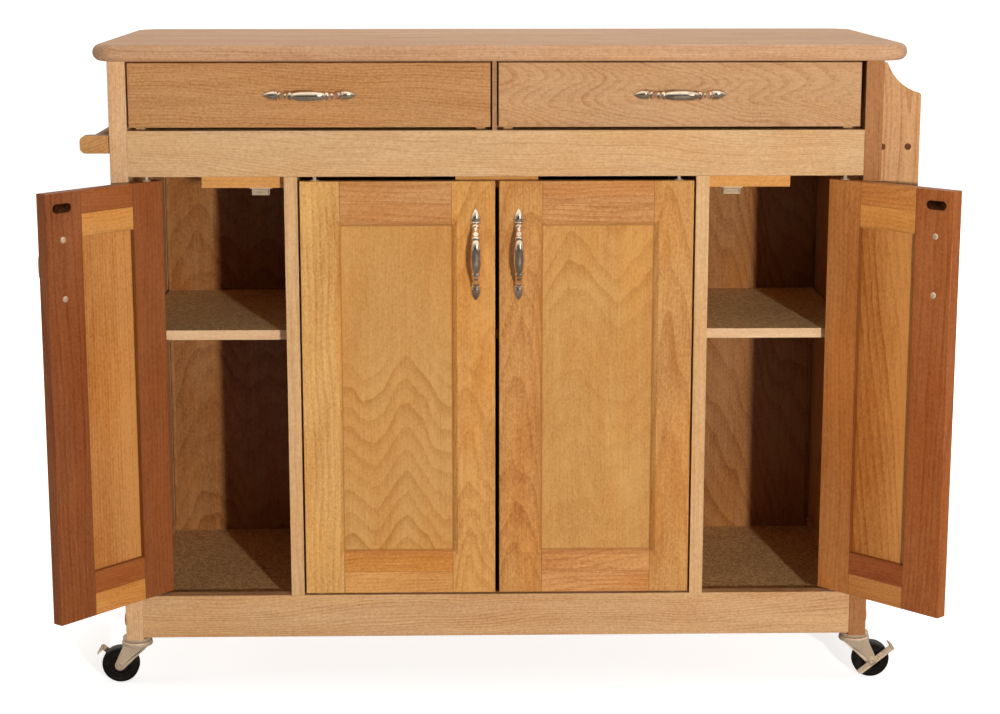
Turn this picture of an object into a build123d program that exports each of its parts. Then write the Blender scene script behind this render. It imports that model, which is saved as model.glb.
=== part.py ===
from build123d import *
from math import asin, cos, degrees, radians, sin
import os

# Butcher block kitchen cart: a worktop on a cabinet with four doors and two drawers, on four casters.
# Sizes are in millimetres. X runs to the cart's right, Y to its back and Z up from the floor.
# Every piece stands where it does with the outer doors open and the rest closed.

# Whole cart
overall_height = 876.0
front_y = -150.0
carcass_width = 1018.0
carcass_depth = 417.0

# Worktop
worktop_thickness = 22.0
worktop_overhang_left = 21.0
worktop_overhang_right = 33.0
worktop_overhang_front = 20.0
worktop_overhang_back = 20.0
worktop_corner_radius = 45.0
worktop_edge_radius = 10.8

# Posts and rails
post_width = 23.7
post_depth = 42.0
board_ease = 1.5
rail_thickness = 19.0
apron_height = 61.0
toe_rail_height = 59.5
toe_rail_lift = 3.5
side_rail_height = 60.0
side_panel_thickness = 8.0
side_panel_recess = 2.7
back_panel_thickness = 6.0

# Inside the cabinet
outer_bay_width = 204.0
partition_thickness = 17.5
floor_thickness = 13.0
floor_drop = 10.0
deck_thickness = 6.0
shelf_top = 491.0
shelf_thickness = 13.0
shelf_setback = 34.0
shelf_play = 0.7
shelf_clip_width = 12.0
shelf_clip_reach = 13.0
shelf_clip_height = 16.0
shelf_clip_gauge = 2.0
shelf_clip_inset = 40.0

# Doors
door_thickness = 18.0
door_gap = 2.5
door_meeting_gap = 5.2
door_top_gap = 6.0
door_bottom_gap = 2.5
hinge_stile_width = 53.0
free_stile_width = 58.0
door_rail_width = 60.0
bevel_width = 7.0
bevel_depth = 6.0
door_panel_thickness = 6.0
panel_groove_depth = 9.0
panel_tongue = 7.5
panel_groove_play = 0.2
left_door_angle = 129.5
right_door_angle = 132.5

# Pivot pins of the doors
pivot_inset = 19.8
pin_radius = 2.5
pin_play = 0.05
pin_flange_radius = 6.0
pin_flange_thickness = 1.2
pin_reach = 9.0
pin_hole_depth = 10.0

# Magnetic catches behind the apron rail
cleat_width = 110.0
cleat_drop = 10.5
cleat_height = 40.0
cleat_thickness = 18.0
catch_width = 28.0
catch_height = 11.0
catch_depth = 14.0
catch_inset = 30.0
catch_face_gap = 1.4
strike_length = 30.0
strike_height = 12.0
strike_thickness = 0.8
strike_inset = 26.0
strike_drop = 20.0

# Drawers
drawer_front_height = 84.5
drawer_front_thickness = 19.0
drawer_top_gap = 2.0
drawer_bottom_gap = 4.0
drawer_gap = 2.2
drawer_right_end_gap = 6.0
divider_thickness = 6.0
divider_centre = -3.4
drawer_box_height = 64.0
drawer_back_gap = 30.0
drawer_box_inset = 7.0
drawer_board = 12.0
drawer_bottom_thickness = 4.0
drawer_bottom_lift = 8.0
drawer_float = 0.4
guide_play = 1.0
guide_height = 25.0

# Pulls, the same on doors and drawers: a bow that rises from two acorn-shaped feet
pull_length = 123.5
pull_screw_spacing = 76.2
pull_standoff = 24.0
pull_root_height = 6.5
pull_root_radius = 4.3
pull_knuckle_radius = 4.8
pull_neck_radius = 3.9
pull_ring_at = 20.9
pull_ring_radius = 5.3
pull_ring_width = 2.6
pull_grip_half = 17.0
pull_grip_radius = 5.9
pull_grip_end_radius = 4.3
pull_grip_drop = 1.2
pull_acorn_length = 20.8
pull_acorn_radius = 6.4
pull_acorn_lip = 1.4
pull_tip_radius = 1.3
door_pull_inset = 26.0
door_pull_drop = 98.4
screw_radius = 2.0
screw_play = 0.3
screw_head_radius = 4.2
screw_head_height = 2.2

# Towel bar on the left side
towel_bracket_reach = 39.5
towel_bracket_height = 23.5
towel_bracket_thickness = 19.0
towel_bracket_corner = 8.0
towel_bracket_setback = 5.0
towel_bar_drop = 109.0
towel_rod_reach = 26.0
towel_rod_radius = 8.0
towel_rod_seat = 10.0
towel_rod_play = 0.1

# Spice rack on the right side
rack_top_gap = 4.0
rack_height = 272.0
rack_reach = 56.0
rack_end_thickness = 12.0
rack_setback = 30.0
rack_shoulder_reach = 10.0
rack_scoop_drop = 41.0
rack_scoop_depth = 6.0
rack_corner_radius = 5.0
rack_shelf_width = 46.4
rack_shelf_thickness = 12.0
rack_shelf_drop = 106.3
rack_shelf_spacing = 137.0
rack_guard_height = 44.0
rack_screw_inset = 6.0

# Caps on the legs, and plugs over the screws of the frame and the rack
cap_radius = 10.0
cap_height = 3.4
cap_level = 89.3
plug_radius = 4.5
plug_height = 2.6
plug_drop = 84.0
rack_plug_height = 0.8

# Casters
caster_height = 65.0
wheel_radius = 25.5
wheel_width = 17.0
wheel_tread_round = 3.5
wheel_hub_radius = 13.0
wheel_hub_recess = 2.5
wheel_bearing_radius = 6.5
caster_trail = 23.5
axle_radius = 3.0
axle_play = 0.06
rivet_radius = 4.5
rivet_height = 1.5
stem_radius = 5.0
stem_length = 38.0
stem_hole_depth = 42.0
stem_hole_play = 0.1
race_radius = 20.0
race_thickness = 4.5
kingpin_radius = 4.0
kingpin_play = 0.06
kingpin_head_radius = 6.0
kingpin_head_height = 1.3
fork_cap_radius = 21.0
fork_cap_thickness = 6.5
fork_race_gap = 0.6
fork_plate_thickness = 2.0
fork_wheel_gap = 1.4
fork_plate_front = 19.0
fork_plate_back = 15.0
fork_end_radius = 7.0
fork_plate_root = 1.0
brake_gap = 0.4
brake_thickness = 1.8
brake_arm_radius = 3.6
brake_hub_radius = 6.5
brake_toe_across = 26.0
brake_toe_rise = 19.0
brake_heel_across = 16.0
brake_heel_drop = 15.0
brake_tab_width = 9.0

# Levels, from the floor up
leg_bottom = caster_height
worktop_bottom = overall_height - worktop_thickness
drawer_top = worktop_bottom - drawer_top_gap
drawer_bottom = drawer_top - drawer_front_height
apron_top = drawer_bottom - drawer_bottom_gap
apron_bottom = apron_top - apron_height
door_top = apron_bottom - door_top_gap
toe_bottom = leg_bottom + toe_rail_lift
toe_top = toe_bottom + toe_rail_height
door_bottom = toe_top + door_bottom_gap
floor_top = toe_top - floor_drop
floor_bottom = floor_top - floor_thickness
deck_bottom = apron_top - deck_thickness
shelf_bottom = shelf_top - shelf_thickness
towel_bar_level = worktop_bottom - towel_bar_drop
plug_level = worktop_bottom - plug_drop
rack_top = worktop_bottom - rack_top_gap

# Places across the cart
outer_x = carcass_width / 2
inner_x = outer_x - post_width
wall_x = inner_x + side_panel_recess
partition_outer = inner_x - outer_bay_width
partition_inner = partition_outer - partition_thickness
partition_centre = (partition_outer + partition_inner) / 2
post_centre = (inner_x + outer_x) / 2

# Places from front to back
back_y = front_y + carcass_depth
rear_post_front = back_y - post_depth
rail_back = front_y + rail_thickness
back_panel_front = rear_post_front - back_panel_thickness
shelf_front = front_y + shelf_setback
pivot_y = front_y + door_thickness / 2

os.makedirs("parts", exist_ok=True)


def write(name, *pieces):
    """Label one piece, or several separate solids that share a name, and write the file."""
    solids = [solid for piece in pieces for solid in piece.solids()]
    shape = solids[0] if len(solids) == 1 else Compound(solids)
    shape.label = name
    export_step(shape, f"parts/{name}.step")


def span(across_from, across_to, up_from, up_to):
    """A rectangle between two lines across and two lines up, in the sketch being drawn."""
    with Locations(((across_from + across_to) / 2, (up_from + up_to) / 2)):
        Rectangle(abs(across_to - across_from), abs(up_to - up_from))


def board(x_from, x_to, y_from, y_to, z_from, z_to, ease=0.0):
    """A plain board between six planes, with its long edges eased when asked."""
    with BuildPart() as piece:
        with BuildSketch(Plane.XY.offset(z_from)):
            span(x_from, x_to, y_from, y_to)
        extrude(amount=z_to - z_from)
        if ease:
            lengths = {Axis.X: abs(x_to - x_from), Axis.Y: y_to - y_from, Axis.Z: z_to - z_from}
            fillet(piece.edges().filter_by(max(lengths, key=lengths.get)), ease)
    return piece.part


# Worktop: a slab with rounded corners and a round nose all the way along its edge
with BuildPart() as worktop:
    with BuildSketch(Plane.XY.offset(worktop_bottom)) as worktop_outline:
        span(
            -outer_x - worktop_overhang_left,
            outer_x + worktop_overhang_right,
            front_y - worktop_overhang_front,
            back_y + worktop_overhang_back,
        )
        fillet(worktop_outline.vertices(), worktop_corner_radius)
    extrude(amount=worktop_thickness)
    rims = worktop.faces().filter_by(Axis.Z).edges()
    fillet(rims, worktop_edge_radius)
write("worktop", worktop.part)


def post(side, y_from):
    """One corner post, with the hole for a caster's stem in its foot."""
    with BuildPart() as piece:
        with BuildSketch(Plane.XY.offset(leg_bottom)):
            span(side * inner_x, side * outer_x, y_from, y_from + post_depth)
        extrude(amount=worktop_bottom - leg_bottom)
        fillet(piece.edges().filter_by(Axis.Z), board_ease)
        with BuildSketch(Plane.XY.offset(leg_bottom)):
            with Locations((side * post_centre, y_from + post_depth / 2)):
                Circle(stem_radius + stem_hole_play)
        extrude(amount=stem_hole_depth, mode=Mode.SUBTRACT)
    return piece.part


write("post_front_left", post(-1, front_y))
write("post_front_right", post(1, front_y))
write("post_rear_left", post(-1, rear_post_front))
write("post_rear_right", post(1, rear_post_front))

# Rails between the posts: two on each side and two behind the back panel
frame_rails = []
for rail_bottom, rail_top in ((toe_bottom, toe_bottom + side_rail_height),
                              (worktop_bottom - side_rail_height, worktop_bottom)):
    for side in (-1, 1):
        frame_rails.append(
            board(side * inner_x, side * outer_x, front_y + post_depth, rear_post_front,
                  rail_bottom, rail_top, board_ease)
        )
    frame_rails.append(
        board(-inner_x, inner_x, rear_post_front, rear_post_front + rail_thickness,
              rail_bottom, rail_top, board_ease)
    )
write("frame_rails", *frame_rails)

# Side panels, let in between the posts and the side rails
for name, side in (("side_panel_left", -1), ("side_panel_right", 1)):
    write(
        name,
        board(side * wall_x, side * (wall_x + side_panel_thickness),
              front_y + post_depth, rear_post_front,
              toe_bottom + side_rail_height, worktop_bottom - side_rail_height),
    )

# Door pivots: the outer doors turn beside the posts and the centre doors beside the partitions
outer_pivot = inner_x - door_gap - pivot_inset
centre_pivot = partition_inner - door_gap - pivot_inset
pivot_places = [(x, pivot_y) for x in (-outer_pivot, -centre_pivot, centre_pivot, outer_pivot)]


def front_rail(bottom, height, hole_level, hole_direction):
    """A rail across the front, with four blind holes for the door pins."""
    with BuildPart() as piece:
        with BuildSketch(Plane.XY.offset(bottom)):
            span(-inner_x, inner_x, front_y, rail_back)
        extrude(amount=height)
        fillet(piece.edges().filter_by(Axis.X), board_ease)
        with BuildSketch(Plane.XY.offset(hole_level)):
            with Locations(*pivot_places):
                Circle(pin_radius + pin_play)
        extrude(amount=hole_direction * pin_hole_depth, mode=Mode.SUBTRACT)
    return piece.part


write("apron_rail", front_rail(apron_bottom, apron_height, apron_bottom, 1))
write("toe_rail", front_rail(toe_bottom, toe_rail_height, toe_top, -1))

# Back panel, nailed to the front of the rear rails and posts
write(
    "back_panel",
    board(-inner_x, inner_x, back_panel_front, rear_post_front, floor_bottom, worktop_bottom),
)

# Cabinet floor
write(
    "floor_panel",
    board(-inner_x, inner_x, rail_back, back_panel_front, floor_bottom, floor_top),
)


def partition(side):
    """An upright between two bays, notched over the toe rail and under the apron rail."""
    with BuildPart() as piece:
        with BuildSketch(Plane.YZ.offset(side * partition_centre - partition_thickness / 2)):
            span(front_y, rail_back, toe_top, apron_bottom)
            span(rail_back, back_panel_front, floor_top, deck_bottom)
        extrude(amount=partition_thickness)
    return piece.part


write("partition_left", partition(-1))
write("partition_right", partition(1))

# Adjustable shelves, one in each bay
bays = (
    ("left", -inner_x, -partition_outer),
    ("centre", -partition_inner, partition_inner),
    ("right", partition_outer, inner_x),
)
for bay, bay_from, bay_to in bays:
    write(
        f"shelf_{bay}",
        board(bay_from + shelf_play, bay_to - shelf_play, shelf_front, back_panel_front - shelf_play,
              shelf_bottom, shelf_top, board_ease),
    )


def shelf_clip(wall, inward, y_centre):
    """An angle of sheet steel that stands on a wall and carries a shelf's end."""
    with BuildPart() as piece:
        with BuildSketch(Plane.XZ.offset(-y_centre - shelf_clip_width / 2)):
            span(wall, wall + inward * shelf_clip_gauge, shelf_bottom - shelf_clip_height, shelf_bottom)
            span(wall, wall + inward * shelf_clip_reach, shelf_bottom - shelf_clip_gauge, shelf_bottom)
        extrude(amount=shelf_clip_width)
    return piece.part


# Shelf clips: two on each wall of each bay
clip_rows = (shelf_front + shelf_clip_inset, back_panel_front - shelf_clip_inset)
clip_walls = (
    (-wall_x, 1), (-partition_outer, -1), (-partition_inner, 1),
    (partition_inner, -1), (partition_outer, 1), (wall_x, -1),
)
write(
    "shelf_clips",
    *[shelf_clip(wall, inward, row) for wall, inward in clip_walls for row in clip_rows],
)

# Deck under the drawers
write("drawer_deck", board(-inner_x, inner_x, rail_back, back_panel_front, deck_bottom, apron_top))

# Drawer fronts, from one end of the row to the other
divider_left = divider_centre - divider_thickness / 2
divider_right = divider_centre + divider_thickness / 2
left_drawer = (-inner_x + drawer_gap, divider_left - drawer_gap)
right_drawer = (divider_right + drawer_gap, inner_x - drawer_right_end_gap)

# Divider between the drawers, and the strips on the deck that guide the drawer sides
guide_front = front_y + post_depth
guide_limits = (
    (-wall_x, left_drawer[0] + drawer_box_inset - guide_play),
    (left_drawer[1] - drawer_box_inset + guide_play, divider_left),
    (divider_right, right_drawer[0] + drawer_box_inset - guide_play),
    (right_drawer[1] - drawer_box_inset + guide_play, wall_x),
)
drawer_guides = [
    board(x_from, x_to, guide_front, back_panel_front, apron_top, apron_top + guide_height)
    for x_from, x_to in guide_limits
]
drawer_guides.append(
    board(divider_left, divider_right, front_y, back_panel_front, apron_top, worktop_bottom)
)
write("drawer_guides", *drawer_guides)


def pull(name, face, thickness):
    """A bow pull centred on a face plane whose x axis runs along it, with its two screws."""
    half = pull_length / 2
    root = pull_screw_spacing / 2
    acorn_start = half - pull_acorn_length
    rise = pull_standoff - pull_root_height
    bow_radius = (root**2 + rise**2) / (2 * rise)

    root_lean = asin(root / bow_radius)

    def across_bow(along):
        """The plane square to the bow at a distance along the pull."""
        lean = asin(along / bow_radius)
        height = pull_standoff - bow_radius * (1 - cos(lean))
        return Plane(
            face.from_local_coords((along, 0, height)), face.y_dir,
            face.x_dir * cos(lean) - face.z_dir * sin(lean),
        )

    grip_line = Plane(
        face.from_local_coords((0, 0, pull_standoff - pull_grip_drop)), face.x_dir, -face.y_dir
    )
    bow_centre = face.from_local_coords((0, 0, pull_standoff - bow_radius))
    with BuildPart() as handle:
        with BuildSketch(Plane(face.origin, face.x_dir, -face.y_dir)):
            with BuildLine():
                Polyline((half, pull_tip_radius), (half, 0), (acorn_start, 0),
                         (acorn_start, pull_acorn_radius),
                         (acorn_start + pull_acorn_lip, pull_acorn_radius))
                TangentArc((acorn_start + pull_acorn_lip, pull_acorn_radius), (half, pull_tip_radius),
                           tangent=(1, 0))
            make_face()
            mirror(about=Plane.YZ)
        revolve(axis=Axis(face.origin, face.x_dir))
        split(bisect_by=face, keep=Keep.TOP)
        with BuildSketch(face):
            with Locations((-root, 0), (root, 0)):
                Circle(pull_root_radius)
        extrude(amount=pull_root_height)
        with Locations(*[face.from_local_coords((along, 0, pull_root_height)) for along in (-root, root)]):
            Sphere(pull_knuckle_radius)
        with BuildSketch(across_bow(-root)):
            Circle(pull_neck_radius)
        revolve(axis=Axis(bow_centre, face.y_dir), revolution_arc=degrees(2 * root_lean))
        for along in (-pull_ring_at, pull_ring_at):
            with BuildSketch(across_bow(along).offset(-pull_ring_width / 2)):
                Circle(pull_ring_radius)
            extrude(amount=pull_ring_width)
        with BuildSketch(grip_line):
            with BuildLine():
                Polyline((pull_grip_half, pull_grip_end_radius), (pull_grip_half, 0),
                         (-pull_grip_half, 0), (-pull_grip_half, pull_grip_end_radius))
                ThreePointArc((-pull_grip_half, pull_grip_end_radius), (0, pull_grip_radius),
                              (pull_grip_half, pull_grip_end_radius))
            make_face()
        revolve(axis=Axis(grip_line.origin, face.x_dir))
    with BuildPart() as screws:
        with BuildSketch(face.offset(-thickness)):
            with Locations((-root, 0), (root, 0)):
                Circle(screw_radius)
        extrude(amount=thickness)
        with BuildSketch(face.offset(-thickness)):
            with Locations((-root, 0), (root, 0)):
                Circle(screw_head_radius)
        extrude(amount=-screw_head_height)
    write(name, handle.part, screws.part)


def pivot_pin(pivot_x, door_edge, direction):
    """A pin with a flange that stands on a door's end and turns in a rail's hole."""
    reach = pin_reach + (door_top_gap if direction > 0 else door_bottom_gap)
    with BuildPart() as piece:
        with BuildSketch(Plane.XY.offset(door_edge)):
            with Locations((pivot_x, pivot_y)):
                Circle(pin_flange_radius)
        extrude(amount=direction * pin_flange_thickness)
        with BuildSketch(Plane.XY.offset(door_edge)):
            with Locations((pivot_x, pivot_y)):
                Circle(pin_radius)
        extrude(amount=direction * reach)
    return piece.part


def door(name, pivot_x, hand, width, angle):
    """A framed door on its pivot line, hinged at its left for hand 1 and at its right for -1."""
    turn = radians(-hand * angle)
    middle = Plane((pivot_x, pivot_y, 0), (cos(turn), sin(turn), 0), (sin(turn), -cos(turn), 0))
    front = middle.offset(door_thickness / 2)
    back = middle.offset(-door_thickness / 2)
    hinge_edge = -hand * pivot_inset
    free_edge = hinge_edge + hand * width
    hinge_inner = hinge_edge + hand * hinge_stile_width
    free_inner = free_edge - hand * free_stile_width
    opening_bottom = door_bottom + door_rail_width
    opening_top = door_top - door_rail_width
    panel_back = door_thickness / 2 - bevel_depth - door_panel_thickness
    pull_x = free_edge - hand * door_pull_inset
    pull_z = door_top - door_pull_drop
    pull_face = Plane(front.from_local_coords((pull_x, pull_z, 0)), (0, 0, 1), front.z_dir)

    def opening(margin):
        span(hinge_inner - hand * margin, free_inner + hand * margin,
             opening_bottom - margin, opening_top + margin)

    with BuildPart() as blank:
        with BuildSketch(back):
            span(hinge_edge, free_edge, door_bottom, door_top)
        extrude(amount=door_thickness)
        rim = blank.edges().filter_by(Axis(middle.origin, middle.z_dir), reverse=True)
        fillet(rim, board_ease)
    with BuildPart() as bevel:
        with BuildSketch(front):
            opening(bevel_width)
        with BuildSketch(front.offset(-bevel_depth)):
            opening(0)
        loft()
    with BuildPart() as groove:
        with BuildSketch(middle.offset(panel_back - panel_groove_play)):
            opening(panel_groove_depth)
        extrude(amount=door_panel_thickness + 2 * panel_groove_play)
    members = []
    for x_from, x_to, z_from, z_to in (
        (hinge_edge, hinge_inner, door_bottom, door_top),
        (free_inner, free_edge, door_bottom, door_top),
        (hinge_inner, free_inner, door_bottom, opening_bottom),
        (hinge_inner, free_inner, opening_top, door_top),
    ):
        with BuildPart() as member:
            add(blank.part)
            with BuildSketch(back):
                span(x_from, x_to, z_from, z_to)
            extrude(amount=door_thickness, mode=Mode.INTERSECT)
            add(bevel.part, mode=Mode.SUBTRACT)
            add(groove.part, mode=Mode.SUBTRACT)
            if x_to == free_edge:
                with BuildSketch(back):
                    with Locations((pull_x, pull_z - pull_screw_spacing / 2),
                                   (pull_x, pull_z + pull_screw_spacing / 2)):
                        Circle(screw_radius + screw_play)
                extrude(amount=door_thickness, mode=Mode.SUBTRACT)
        members.append(member.part)
    write(f"{name}_frame", *members)

    with BuildPart() as panel:
        with BuildSketch(middle.offset(panel_back)):
            opening(panel_tongue)
        extrude(amount=door_panel_thickness)
    write(f"{name}_panel", panel.part)

    pull(f"{name}_pull", pull_face, door_thickness)

    with BuildPart() as strike:
        with BuildSketch(back.offset(-strike_thickness)):
            with Locations((free_edge - hand * strike_inset, door_top - strike_drop)):
                SlotOverall(strike_length, strike_height)
        extrude(amount=strike_thickness)
    write(
        f"{name}_fittings",
        strike.part,
        pivot_pin(pivot_x, door_top, 1),
        pivot_pin(pivot_x, door_bottom, -1),
    )


outer_door_width = inner_x - partition_outer - 2 * door_gap
centre_door_width = partition_inner - door_gap - door_meeting_gap / 2
door("door_left", -outer_pivot, 1, outer_door_width, left_door_angle)
door("door_centre_left", -centre_pivot, 1, centre_door_width, 0.0)
door("door_centre_right", centre_pivot, -1, centre_door_width, 0.0)
door("door_right", outer_pivot, -1, outer_door_width, right_door_angle)

# Cleats that hang behind the apron rail: one at the free edge of each outer door, one in the middle
cleat_bottom = door_top - cleat_drop
cleat_starts = (-partition_outer - cleat_width, -cleat_width / 2, partition_outer)
write(
    "catch_cleats",
    *[board(x, x + cleat_width, rail_back, rail_back + cleat_thickness,
            cleat_bottom, cleat_bottom + cleat_height) for x in cleat_starts],
)

# Magnetic catches under the cleats, where the strike plates meet them
catch_front = front_y + door_thickness + catch_face_gap
catch_centres = (
    -partition_outer - door_gap - catch_inset, -door_meeting_gap / 2 - catch_inset,
    door_meeting_gap / 2 + catch_inset, partition_outer + door_gap + catch_inset,
)
write(
    "door_catches",
    *[board(x - catch_width / 2, x + catch_width / 2, catch_front, catch_front + catch_depth,
            cleat_bottom - catch_height, cleat_bottom) for x in catch_centres],
)


def drawer(name, x_from, x_to):
    """A drawer: its front, an open box behind it, and a pull in the middle of the front."""
    middle_x = (x_from + x_to) / 2
    middle_z = (drawer_bottom + drawer_top) / 2
    face = Plane((middle_x, front_y, middle_z), (1, 0, 0), (0, -1, 0))
    front_back = front_y + drawer_front_thickness
    box_back = back_panel_front - drawer_back_gap
    box_left = x_from + drawer_box_inset
    box_right = x_to - drawer_box_inset
    side_bottom = apron_top + drawer_float
    side_top = side_bottom + drawer_box_height
    base_bottom = side_bottom + drawer_bottom_lift
    with BuildPart() as front:
        with BuildSketch(Plane.XY.offset(drawer_bottom)):
            span(x_from, x_to, front_y, front_back)
        extrude(amount=drawer_front_height)
        fillet(front.faces().sort_by(Axis.Y)[0].edges(), board_ease)
        with BuildSketch(face):
            with Locations((-pull_screw_spacing / 2, 0), (pull_screw_spacing / 2, 0)):
                Circle(screw_radius + screw_play)
        extrude(amount=-drawer_front_thickness, mode=Mode.SUBTRACT)
    write(f"{name}_front", front.part)
    write(
        f"{name}_box",
        board(box_left, box_left + drawer_board, front_back, box_back, side_bottom, side_top),
        board(box_right - drawer_board, box_right, front_back, box_back, side_bottom, side_top),
        board(box_left + drawer_board, box_right - drawer_board, box_back - drawer_board, box_back,
              side_bottom, side_top),
        board(box_left + drawer_board, box_right - drawer_board, front_back, box_back - drawer_board,
              base_bottom, base_bottom + drawer_bottom_thickness),
    )
    pull(f"{name}_pull", face, drawer_front_thickness)


drawer("drawer_left", *left_drawer)
drawer("drawer_right", *right_drawer)

# Towel bar: two wooden brackets with a rod let into them
rod_x = -outer_x - towel_rod_reach
bracket_fronts = (
    front_y + towel_bracket_setback,
    back_y - towel_bracket_setback - towel_bracket_thickness,
)
seat_faces = (bracket_fronts[0] + towel_bracket_thickness, bracket_fronts[1])


def towel_bracket(y_from, seat_y, seat_direction):
    """A block on the side with rounded outer corners and a blind hole for the rod's end."""
    with BuildPart() as piece:
        with BuildSketch(Plane.XZ.offset(-y_from)) as shape:
            span(-outer_x - towel_bracket_reach, -outer_x,
                 towel_bar_level - towel_bracket_height / 2, towel_bar_level + towel_bracket_height / 2)
            fillet(shape.vertices().group_by(Axis.X)[0], towel_bracket_corner)
        extrude(amount=-towel_bracket_thickness)
        with BuildSketch(Plane.XZ.offset(-seat_y)):
            with Locations((rod_x, towel_bar_level)):
                Circle(towel_rod_radius + towel_rod_play)
        extrude(amount=seat_direction * towel_rod_seat, mode=Mode.SUBTRACT)
    return piece.part


write(
    "towel_brackets",
    towel_bracket(bracket_fronts[0], seat_faces[0], 1),
    towel_bracket(bracket_fronts[1], seat_faces[1], -1),
)
with BuildPart() as towel_rod:
    with BuildSketch(Plane.XZ.offset(-seat_faces[0] + towel_rod_seat)):
        with Locations((rod_x, towel_bar_level)):
            Circle(towel_rod_radius)
    extrude(amount=-(seat_faces[1] - seat_faces[0] + 2 * towel_rod_seat))
write("towel_rod", towel_rod.part)

# Spice rack: two shaped ends with two shelves between them, each behind a guard rail
rack_bottom = rack_top - rack_height
rack_outer = outer_x + rack_reach
rack_shoulder = outer_x + rack_shoulder_reach
rack_scoop_foot = rack_top - rack_scoop_drop
rack_end_fronts = (front_y + rack_setback, back_y - rack_setback - rack_end_thickness)


def rack_end(y_from):
    """An end board whose top is scooped away towards its outer edge."""
    scoop_middle = (
        (rack_shoulder + rack_outer) / 2 - rack_scoop_depth,
        (rack_top + rack_scoop_foot) / 2 - rack_scoop_depth,
    )
    with BuildPart() as piece:
        with BuildSketch(Plane.XZ.offset(-y_from)) as shape:
            with BuildLine():
                Polyline(
                    (rack_outer, rack_scoop_foot), (rack_outer, rack_bottom), (outer_x, rack_bottom),
                    (outer_x, rack_top), (rack_shoulder, rack_top),
                )
                ThreePointArc((rack_shoulder, rack_top), scoop_middle, (rack_outer, rack_scoop_foot))
            make_face()
            rounded = [v for v in shape.vertices() if v.X > outer_x + rack_corner_radius]
            fillet(rounded, rack_corner_radius)
        extrude(amount=-rack_end_thickness)
    return piece.part


write("rack_ends", *[rack_end(y_from) for y_from in rack_end_fronts])

rack_from = rack_end_fronts[0] + rack_end_thickness
rack_to = rack_end_fronts[1]
rack_shelf_edge = outer_x + rack_shelf_width
rack_shelf_tops = (rack_top - rack_shelf_drop, rack_top - rack_shelf_drop - rack_shelf_spacing)
rack_boards = []
for level in rack_shelf_tops:
    shelf_underside = level - rack_shelf_thickness
    rack_boards.append(
        board(outer_x, rack_shelf_edge, rack_from, rack_to, shelf_underside, level, board_ease)
    )
    rack_boards.append(
        board(rack_shelf_edge, rack_outer, rack_from, rack_to,
              shelf_underside, shelf_underside + rack_guard_height, board_ease)
    )
write("rack_boards", *rack_boards)


def button(seat, radius, height):
    """A low domed button that stands on a face plane."""
    with BuildPart() as piece:
        with BuildSketch(seat):
            Circle(radius)
        extrude(amount=height)
        fillet(piece.faces().sort_by(Axis(seat.origin, seat.z_dir))[-1].edges(), 0.7 * height)
    return piece.part


# Caps over the bolts in the legs, plugs high on the posts, and plugs in the rack's ends
post_rows = (front_y + post_depth / 2, back_y - post_depth / 2)
buttons = []
for side in (-1, 1):
    for row in post_rows:
        buttons.append(
            button(Plane((side * outer_x, row, cap_level), (0, 1, 0), (side, 0, 0)), cap_radius, cap_height)
        )
        buttons.append(
            button(Plane((side * outer_x, row, plug_level), (0, 1, 0), (side, 0, 0)), plug_radius, plug_height)
        )
for level in rack_shelf_tops:
    screw_z = level - rack_shelf_thickness / 2
    for screw_x in (outer_x + rack_screw_inset, rack_shelf_edge - rack_screw_inset):
        for seat_y, facing in ((rack_end_fronts[0], -1), (rack_end_fronts[1] + rack_end_thickness, 1)):
            seat = Plane((screw_x, seat_y, screw_z), (1, 0, 0), (0, facing, 0))
            buttons.append(button(seat, plug_radius, rack_plug_height))
write("button_caps", *buttons)

# Levels and widths inside a caster
race_bottom = leg_bottom - race_thickness
fork_cap_top = race_bottom - fork_race_gap
fork_cap_bottom = fork_cap_top - fork_cap_thickness
fork_inner = wheel_width / 2 + fork_wheel_gap
fork_outer = fork_inner + fork_plate_thickness
brake_inner = fork_outer + brake_gap
brake_outer = brake_inner + brake_thickness


def caster_stem(x, y):
    """The fixed half of a caster: stem in the leg, race against its foot, kingpin below."""
    with BuildPart() as piece:
        with BuildSketch(Plane.XY.offset(leg_bottom)):
            with Locations((x, y)):
                Circle(stem_radius)
        extrude(amount=stem_length)
        with BuildSketch(Plane.XY.offset(race_bottom)):
            with Locations((x, y)):
                Circle(race_radius)
        extrude(amount=race_thickness)
        with BuildSketch(Plane.XY.offset(race_bottom)):
            with Locations((x, y)):
                Circle(kingpin_radius)
        extrude(amount=-(fork_race_gap + fork_cap_thickness + fork_race_gap))
        with BuildSketch(Plane.XY.offset(fork_cap_bottom - fork_race_gap)):
            with Locations((x, y)):
                Circle(kingpin_head_radius)
        extrude(amount=-kingpin_head_height)
    return piece.part


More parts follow.
